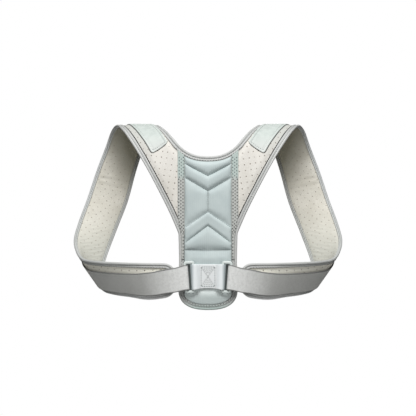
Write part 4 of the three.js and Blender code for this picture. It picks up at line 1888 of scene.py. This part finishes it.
@dataclass
class SeamTape:
    """The tape over the seam between the panel and a wing, zigzag sewn."""

    side: Side
    inner: float = PAD_HALF + 0.5
    top_x: float = 46.1
    lift: float = 2.9
    thick: float = 0.8
    columns: int = 12
    rows: int = 100
    outer: tuple[Pair, ...] = ((-205.0, 40.4), (-170.0, 40.4), (-142.0, 46.1))
    pitch: float = 5.0
    head_z: float = -82.0
    narrow_z: float = SIDE_TOP_Z
    long: float = 162.0
    wide: float = 10.0
    margin: float = 1.0
    on_panel: float = 0.95
    on_wing: float = 2.2
    wing_from: Pair = (41.0, 4.0)
    edge_round: Pair = (1.0, 0.2)
    sunk: float = 0.4
    sewn_margin: float = 3.0
    thread_lift: float = 0.4
    head_columns: tuple[float, ...] = (0.14, 0.44, 0.74)
    wide_columns: tuple[float, ...] = (0.18, 0.5, 0.82)
    narrow_columns: tuple[float, ...] = (0.35,)

    def build(self) -> None:
        """Builds the tape and its stitches."""
        mesh = bent_slab(self.columns, self.rows, self._place, self._chart)
        tape = finished(self.side.named("side_tape"), mesh, SEAM_TAPE, self.side)
        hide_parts(self.side.named("seam_tape"))
        self._sew()

    def _spot(self, share: float, along: float) -> Pair:
        """A point of the tape as x and z.

        Args:
            share: Across, 0 to 1.
            along: Along, 0 to 1.

        Returns:
            The point's x and z.
        """
        column = mix(self.inner, self.top_x, share)
        top = neck_z(column) - BINDING_LEG - self.margin
        z = mix(top, self.outer[0][0], along)
        return mix(self.inner, table_value(self.outer, z), share), z

    def _place(self, share: float, along: float, face: int) -> Vector:
        """A soft tape that rests on the panel and on the wing.

        Args:
            share: Across, 0 to 1.
            along: Along, 0 to 1.
            face: 1 outside, -1 inside.

        Returns:
            The point.
        """
        across = crowded(share)
        x, z = self._spot(across, along)
        if face < 0:
            return on_back(x, mix(self.on_panel, self.on_wing, ramp(x, *self.wing_from)), z)
        wide = table_value(self.outer, z) - self.inner
        inside = min(across, 1 - across) * wide
        return on_back(x, self.lift + self.thick * rounded_edge(inside, *self.edge_round) - self.sunk, z)

    def _chart(self, share: float, along: float) -> Pair:
        """The tape laid flat."""
        return along * self.long, share * self.wide

    def _sew(self) -> None:
        """Staggered columns of short stitches, drawn larger than real ones so that they show."""
        top = neck_z(self.inner) - BINDING_LEG - self.sewn_margin
        fine = Thread(QUILT_THREAD, length=2.4, width=1.8, height=0.8)
        places = self._columns(fine, self.head_columns, top, self.head_z)
        fine.sew(self.side.named("head_stitches"), places, "seam_tape", self.side)
        dark = Thread(DARK_THREAD, length=2.6, width=2.1, height=0.8)
        places = self._columns(dark, self.wide_columns, self.head_z, self.narrow_z)
        places += self._columns(dark, self.narrow_columns, self.narrow_z, self.outer[0][0])
        dark.sew(self.side.named("tape_stitches"), places, "seam_tape", self.side)

    def _columns(self, thread: Thread, shares: Sequence[float], top: float, foot: float) -> list[Matrix]:
        """Columns of upright stitches at shares of the tape's width, each half a pitch from the next.

        Args:
            thread: The thread that sews them.
            shares: The share of the width that each column stands at.
            top: The height that they start from.
            foot: The height that they end at.

        Returns:
            A placing matrix for each stitch.
        """
        places = []
        for column, share in enumerate(shares):
            z = top - self.pitch * (0.25 + 0.5 * (column % 2))
            while z > foot:
                x = mix(self.inner, table_value(self.outer, z), share)
                ends = (on_back(x, self.lift + self.thread_lift, z + up) for up in (1, -1))
                places.append(thread.between(*ends, BACKWARD))
                z -= self.pitch
        return places


@dataclass
class EdgeBinding:
    """One folded tape round the whole outline, sewn through in a groove."""

    surface: StrapSurface
    step: float = 2.4
    groove_at: float = 2.9
    groove_lift: float = 1.6
    ridge_at: float = 5.5
    ridge_lift: float = 2.35
    crease_at: float = 7.3
    crease_lift: float = 1.1
    upper: tuple[Pair, ...] = (
        (6.4, 0.95), (6.5, 1.6), (6.1, 2.1), (5.2, 2.35), (4.3, 2.2), (3.6, 1.7), (3.1, 1.3),
        (2.7, 1.3), (2.2, 1.7), (1.6, 2.2), (0.7, 2.35), (-0.3, 1.9), (-0.95, 1.0),
    )
    nose: float = -1.15
    inside: tuple[Pair, ...] = ((0.8, -0.8), (0.2, 0.0), (0.8, 0.8))
    girth: float = 24.0
    ragged: float = 0.4
    tail_steps: int = 40
    side_heights: range = range(-246, -166, 4)
    strap_steps: int = 300
    tip_stops: tuple[float, ...] = (1.6, 1.0, 0.5, 0.2, 0.0)
    neck_steps: int = 30
    smoothing: int = 2
    neck_beside: float = 1.0
    neck_below: float = 5.0
    rows: list[tuple[Vector, Vector, Vector, bool]] = field(default_factory=list)

    def build(self) -> None:
        """Builds the binding and its stitches."""
        self._lead()
        section = list(self.upper) + [(self.nose, 0.0)]
        shorter = INNER_LEG / BINDING_LEG
        section += [(x * shorter, -y) for x, y in reversed(self.upper)] + list(self.inside)
        count = len(self.rows)

        def place(around: float, along: float) -> Vector:
            """A point of the folded section at a place along the edge.

            Args:
                around: Round the section, 0 to 1.
                along: Along the edge, 0 to 1.

            Returns:
                The point.
            """
            point, normal, inward, _ = self.rows[round(along * count) % count]
            x, y = section[round(around * len(section)) % len(section)]
            return point + inward * x + normal * y

        mesh = bent_tube(len(section), count, place, lambda a, s: (s * count * self.step, a * self.girth))
        binding = finished("folded_binding", mesh, BINDING)
        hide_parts("edge_binding")
        self._sew()

    def _right_half(self) -> list[tuple[Vector, Vector, Vector]]:
        """The right half of the outline, from the tail's end to the neckline's middle.

        Returns:
            Rows of a point, its normal, and a mark that is 1 on the arm-hole edge and 0 elsewhere.
        """
        marks = {True: Vector((1, 0, 0)), False: Vector((0, 0, 0))}
        path = []
        for step in range(self.tail_steps + 1):
            angle = math.pi / 2 * step / self.tail_steps
            x = TAIL_HALF * math.sin(angle) ** (2 / ROUND_POWER)
            path.append((on_back(x, 0, tail_z(x)), BACKWARD, marks[False]))
        for z in self.side_heights:
            path.append((on_back(table_value(PANEL_SIDE, z), 0, z), BACKWARD, marks[False]))
        total = self.surface.total
        stops = [total * step / self.strap_steps for step in range(self.strap_steps)]
        stops += [total - left for left in self.tip_stops]
        frames = [self.surface.at_length(stop) for stop in sorted(stops)]
        for arm_side in (True, False):
            for frame in frames if arm_side else reversed(frames):
                cut = rounded_inset(frame.from_tip, TONGUE_RADIUS)
                across = frame.width - cut if arm_side else cut
                under = min(max(across, BINDING_LEG), frame.width - BINDING_LEG)
                path.append((frame.point(across, 0), frame.normal(under / frame.width), marks[arm_side]))
        for step in range(1, self.neck_steps + 1):
            x = NECK_HALF * (1 - step / self.neck_steps)
            path.append((on_back(x, 0, neck_z(x)), BACKWARD, marks[False]))
        return path

    def _lead(self) -> None:
        """Lays the whole outline at even steps, with the way to the cloth and the mark at each."""
        right = self._right_half()
        mirror = Matrix.Diagonal((-1, 1, 1))
        left = [(mirror @ point, mirror @ normal, mark) for point, normal, mark in reversed(right)]
        loop = resampled(right + left[1:], self.step)[:-1]
        for _ in range(self.smoothing):
            loop = [
                tuple((loop[i - 1][k] + 2 * loop[i][k] + loop[(i + 1) % len(loop)][k]) / 4 for k in range(3))
                for i in range(len(loop))
            ]
        for index, (point, normal, mark) in enumerate(loop):
            way = loop[(index + 1) % len(loop)][0] - loop[index - 1][0]
            out = normal.normalized()
            self.rows.append((point, out, out.cross(way).normalized(), mark.x > 0.5))

    def _sew(self) -> None:
        """A row in the groove of each face, and darker ones on the outer ridge and in each face's crease;
        the crease rows also paint the crease's shadow.
        """
        inner = INNER_LEG / BINDING_LEG
        pale = Thread(PALE_THREAD, length=2.7, width=1.0, height=0.7)
        grey = Thread(GREY_THREAD, length=2.4, width=1.1, height=0.8)
        soft = Thread(PALE_THREAD, length=3.4, width=0.8, height=0.6)
        dark = Thread(DARK_THREAD, length=2.2, width=1.4, height=0.8)
        thick = Thread(BLACK_THREAD, length=4.6, width=2.3, height=0.7)
        # Name, thread, how far in, how far out, pitch and where
        rows = (
            ("binding_stitches", pale, self.groove_at, self.groove_lift, 3.6, self._sewn),
            ("lining_stitches", soft, self.groove_at * inner, -self.groove_lift, 3.6, self._sewn),
            # a pale grey row in the lining's crease that paints its soft shade line
            ("lining_crease_shade", soft, self.crease_at * inner, -self.crease_lift, 3.6, self._sewn),
            ("neck_stitches", grey, self.ridge_at, self.ridge_lift, 4.0, self._on_neck),
            ("edge_stitches", dark, self.ridge_at, self.ridge_lift, 4.3, self._low),
            # the crease's seam row, thick and black so that it also paints the crease's shadow
            ("crease_shade_stitches", thick, self.crease_at, self.crease_lift, 3.9, self._creased),
        )
        for name, thread, inset, lift, pitch, wanted in rows:
            places = []
            for line in self._lines(inset, lift, wanted):
                places += thread.run(line, pitch, self.ragged)
            thread.sew(name, places, "binding")

    @staticmethod
    def _sewn(point: Vector, arm_hole: bool) -> bool:
        """Whether the binding is sewn through: all round."""
        return True

    def _on_neck(self, point: Vector, arm_hole: bool) -> bool:
        """Whether a point lies on the panel's neckline."""
        return abs(point.x) < NECK_HALF + self.neck_beside and point.z > NECK_Z - self.neck_below

    @staticmethod
    def _low(point: Vector, arm_hole: bool) -> bool:
        """Whether a second row shows on the ridge low down: on the tail and under the arm."""
        return point.z < UNDER_ARM_Z or abs(point.x) < NECK_HALF and point.z < SIDE_TOP_Z

    @staticmethod
    def _creased(point: Vector, arm_hole: bool) -> bool:
        """Whether the binding stands off the cloth: round the arm hole, and on the tail."""
        on_tail = abs(point.x) < NECK_HALF and point.z < SIDE_TOP_Z
        return point.z > UNDER_ARM_Z if arm_hole else on_tail

    def _lines(self, inset: float, lift: float, wanted: Callable[[Vector, bool], bool]) -> list[Path]:
        """Lines along the binding, each point with the direction that faces out.

        Args:
            inset: How far in from the edge they run.
            lift: How far outward from the middle; negative on the inner face.
            wanted: Whether a line runs past a point of the edge, given whether that is the arm hole's.

        Returns:
            One line for each unbroken stretch.
        """
        face = math.copysign(1, lift)
        lines: list[list[tuple[Vector, Vector]]] = [[]]
        for point, normal, inward, arm_hole in self.rows + self.rows[:1]:
            if wanted(point, arm_hole):
                lines[-1].append((point + inward * inset + normal * lift, normal * face))
            elif lines[-1]:
                lines.append([])
        return [line for line in lines if len(line) > 2]


@dataclass
class RingKeeper:
    """A pale band sewn down on the spine, with a loop round the inner bar of each ring."""

    height: float = 38.6
    arch: float = 2.5
    sewn: float = 10.5
    low: float = 5.35
    high: float = 8.75
    start_x: float = 0.1
    lead_in: Pair = (0.6, 0.9)
    lead_out: Pair = (0.62, -0.45)
    landing: Pair = (1.2, 0.35)
    landed: float = 1.5
    turn_degrees: range = range(-90, 91, 15)
    samples: int = 16
    step: float = 0.8
    box_half_width: float = 10.3
    box_half_height: float = 14.75
    box_rise: float = 0.75
    darned: tuple[float, ...] = (-11.8, -9.0, -6.2, 6.2, 9.0, 11.8)
    darn_margin: float = 1.5
    pitch: float = 3.6
    thread_lift: float = 0.05
    columns: int = 28
    path: list[tuple[Vector, Vector]] = field(default_factory=list)

    def build(self) -> None:
        """Builds the band and its box of stitches."""
        self._lead()
        mesh = bent_slab(self.columns, len(self.path) - 1, self._place, self._chart)
        keeper = finished("keeper_band", mesh, PALE_WEBBING)
        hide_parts("ring_keeper")
        self._sew()

    def _lead(self) -> None:
        """The band's middle line as x and lift, once round from the middle of its inner layer."""
        bar = RING_X - RING_HALF_WIDTH
        turn = BAR_TURN + WEB_THICK / 2
        inner, outer = self.low + WEB_THICK / 2, self.high - WEB_THICK / 2
        share, lift = self.lead_in
        right = [(self.start_x, inner), (self.sewn, inner), (mix(self.sewn, bar, share), self.low + lift)]
        for degrees in self.turn_degrees:
            angle = math.radians(degrees)
            right.append((bar + turn * math.cos(angle), RING_LIFT + turn * math.sin(angle)))
        share, lift = self.lead_out
        right.append((mix(self.sewn, bar, share), RING_LIFT + turn + lift))
        beyond, lift = self.landing
        right += [(self.sewn + beyond, outer + lift), (self.sewn - self.landed, outer), (0.0, outer)]
        points = right + [(-x, lift) for x, lift in reversed(right[:-1])]
        curve = EdgeCurve(tuple(Vector((x, lift, 0)) for x, lift in points))
        count = self.samples * len(points)
        fine = [(curve.at(step / count),) for step in range(count + 1)]
        line = [row[0] for row in resampled(fine, self.step)]
        for index, point in enumerate(line):
            way = line[min(index + 1, len(line) - 1)] - line[max(index - 1, 0)]
            self.path.append((point, Vector((way.y, -way.x, 0)).normalized()))

    def _place(self, share: float, along: float, face: int) -> Vector:
        """A band with rounded selvedges, leaning with the rings, arched at its foot on the spine.

        Args:
            share: Across, 0 to 1.
            along: Along, 0 to 1.
            face: 1 outside, -1 inside.

        Returns:
            The point.
        """
        point, out = self.path[round(along * (len(self.path) - 1))]
        across = crowded(share)
        inside = min(across, 1 - across) * self.height
        half = WEB_THICK / 2 * rounded_edge(inside, *SELVEDGE)
        spot = point + out * (half * face)
        bar = RING_X - RING_HALF_WIDTH
        up = (across - 0.5) * self.height
        arch = self.arch * max(0.0, 1 - (point.x / bar) ** 2) * max(0.0, 1 - across) ** 2
        lean = (point.x / bar) * up * math.tan(RING_TILT)
        return on_back(spot.x + lean, spot.y, RING_Z + up + arch)

    def _chart(self, share: float, along: float) -> Pair:
        """The band laid flat."""
        return along * len(self.path) * self.step, crowded(share) * self.height

    def _sew(self) -> None:
        """A box with a cross in it, through both layers, darned in the quarters above and below."""
        strong = Thread(QUILT_THREAD, length=2.2, width=1.4, height=0.8)
        fine = Thread(GREY_THREAD, length=3.3, width=0.9, height=0.7)
        darn = Thread(PALE_THREAD, length=2.4, width=1.3, height=0.6)
        wide, tall, middle = self.box_half_width, self.box_half_height, RING_Z + self.box_rise
        ends = [(-wide, tall), (wide, tall), (wide, -tall), (-wide, -tall), (-wide, tall)]
        box = list(zip(ends, ends[1:]))
        cross = [(ends[0], ends[2]), (ends[1], ends[3])]
        rows = []
        for up in self.darned:
            reach = wide * abs(up) / tall - self.darn_margin
            rows.append(((-reach, up), (reach, up)))
        for name, thread, paths in (
            ("keeper_box", strong, box), ("keeper_cross", fine, cross), ("keeper_darning", darn, rows),
        ):
            places = []
            for path in paths:
                lift = self.high + self.thread_lift
                line = [(on_back(x, lift, middle + up), BACKWARD) for x, up in path]
                places += thread.run(line, self.pitch)
            thread.sew(name, places, "keeper")


@dataclass(frozen=True)
class Light:
    """A soft square light: its place and its side in metres, and its watts."""

    name: str
    place: tuple[float, float, float]
    size: float
    power: float


@dataclass
class Studio:
    """Camera, lights, white surround and the pale floor, in metres."""

    distance: float = 2.278
    height: float = -0.127
    lens: float = 125.25
    sensor: float = 36.0
    white: str = "#ffffff"
    ambient: float = 0.09
    aim: tuple[float, float, float] = (0.0, 0.0, -0.12)
    lights: tuple[Light, ...] = (
        Light("key", (0.0, -1.32, 1.52), 1.2, 50.0),
        Light("fill", (0.0, -2.4, -0.1), 0.8, 10.5),
        Light("front", (0.0, 2.4, 0.25), 1.4, 44.0),
    )
    floor_z: float = -1.0
    floor_half_width: float = 0.65
    floor_back: float = -0.55
    floor_front: float = 1.8

    def build(self) -> None:
        """Sets up the studio."""
        bpy.context.scene.view_settings.view_transform = "Standard"
        self._camera()
        self._surround()
        for light in self.lights:
            self._hang(light)
        self._floor()

    def _camera(self) -> None:
        """A level camera behind the wearer's back."""
        data = bpy.data.cameras.new("camera")
        data.lens = self.lens
        data.sensor_width = self.sensor
        camera = bpy.data.objects.new("camera", data)
        camera.location = (0, -self.distance, self.height)
        camera.rotation_euler = (math.pi / 2, 0, 0)
        bpy.context.scene.collection.objects.link(camera)
        bpy.context.scene.camera = camera

    def _surround(self) -> None:
        """White behind the object, and a softer white as its light."""
        world = bpy.data.worlds.new("white_surround")
        bpy.context.scene.world = world
        world.use_nodes = True
        tree = world.node_tree
        tree.nodes.clear()
        seen = add_node(tree, "LightPath")
        colour = {"Color": linear(self.white)}
        soft = add_node(tree, "Background", {**colour, "Strength": self.ambient})
        full = add_node(tree, "Background", {**colour, "Strength": 1.0})
        ends = {1: soft.outputs[0], 2: full.outputs[0]}
        both = add_node(tree, "MixShader", {0: seen.outputs["Is Camera Ray"], **ends})
        add_node(tree, "OutputWorld", {"Surface": both.outputs[0]})

    def _hang(self, light: Light) -> None:
        """Hangs a light so that it faces the brace.

        Args:
            light: The light.
        """
        data = bpy.data.lights.new(light.name, "AREA")
        data.size = light.size
        data.energy = light.power
        lamp = bpy.data.objects.new(light.name, data)
        lamp.location = light.place
        way = Vector(self.aim) - Vector(light.place)
        lamp.rotation_euler = way.to_track_quat("-Z", "Y").to_euler()
        bpy.context.scene.collection.objects.link(lamp)

    def _floor(self) -> None:
        """A pale matt floor, below the photograph's frame."""
        mesh = bmesh.new()
        bmesh.ops.create_grid(mesh, x_segments=1, y_segments=1, size=1.0)
        half_depth = (self.floor_front - self.floor_back) / 2
        bmesh.ops.scale(mesh, vec=(self.floor_half_width, half_depth, 1), verts=mesh.verts[:])
        bmesh.ops.translate(mesh, vec=(0, self.floor_back + half_depth, self.floor_z), verts=mesh.verts[:])
        data = bpy.data.meshes.new("floor")
        mesh.to_mesh(data)
        mesh.free()
        floor = bpy.data.objects.new("floor", data)
        data.materials.append(FLOOR_PAINT.material())
        bpy.context.scene.collection.objects.link(floor)


def main() -> None:
    """Loads the frame, builds each sub-assembly in order and sets up the studio."""
    logging.basicConfig(level=logging.INFO, format="%(name)s: %(message)s")
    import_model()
    surface = StrapSurface()
    BackPanel().build()
    QuiltedPad().build()
    EdgeBinding(surface).build()
    RingKeeper().build()
    for side in Side:
        strap = ShoulderStrap(surface, side).build()
        ShoulderTab(surface, side, strap).build()
        Webbing(surface, side).build()
        Ring(side).build()
        SeamTape(side).build()
    Studio().build()


if __name__ == "__main__":
    main()
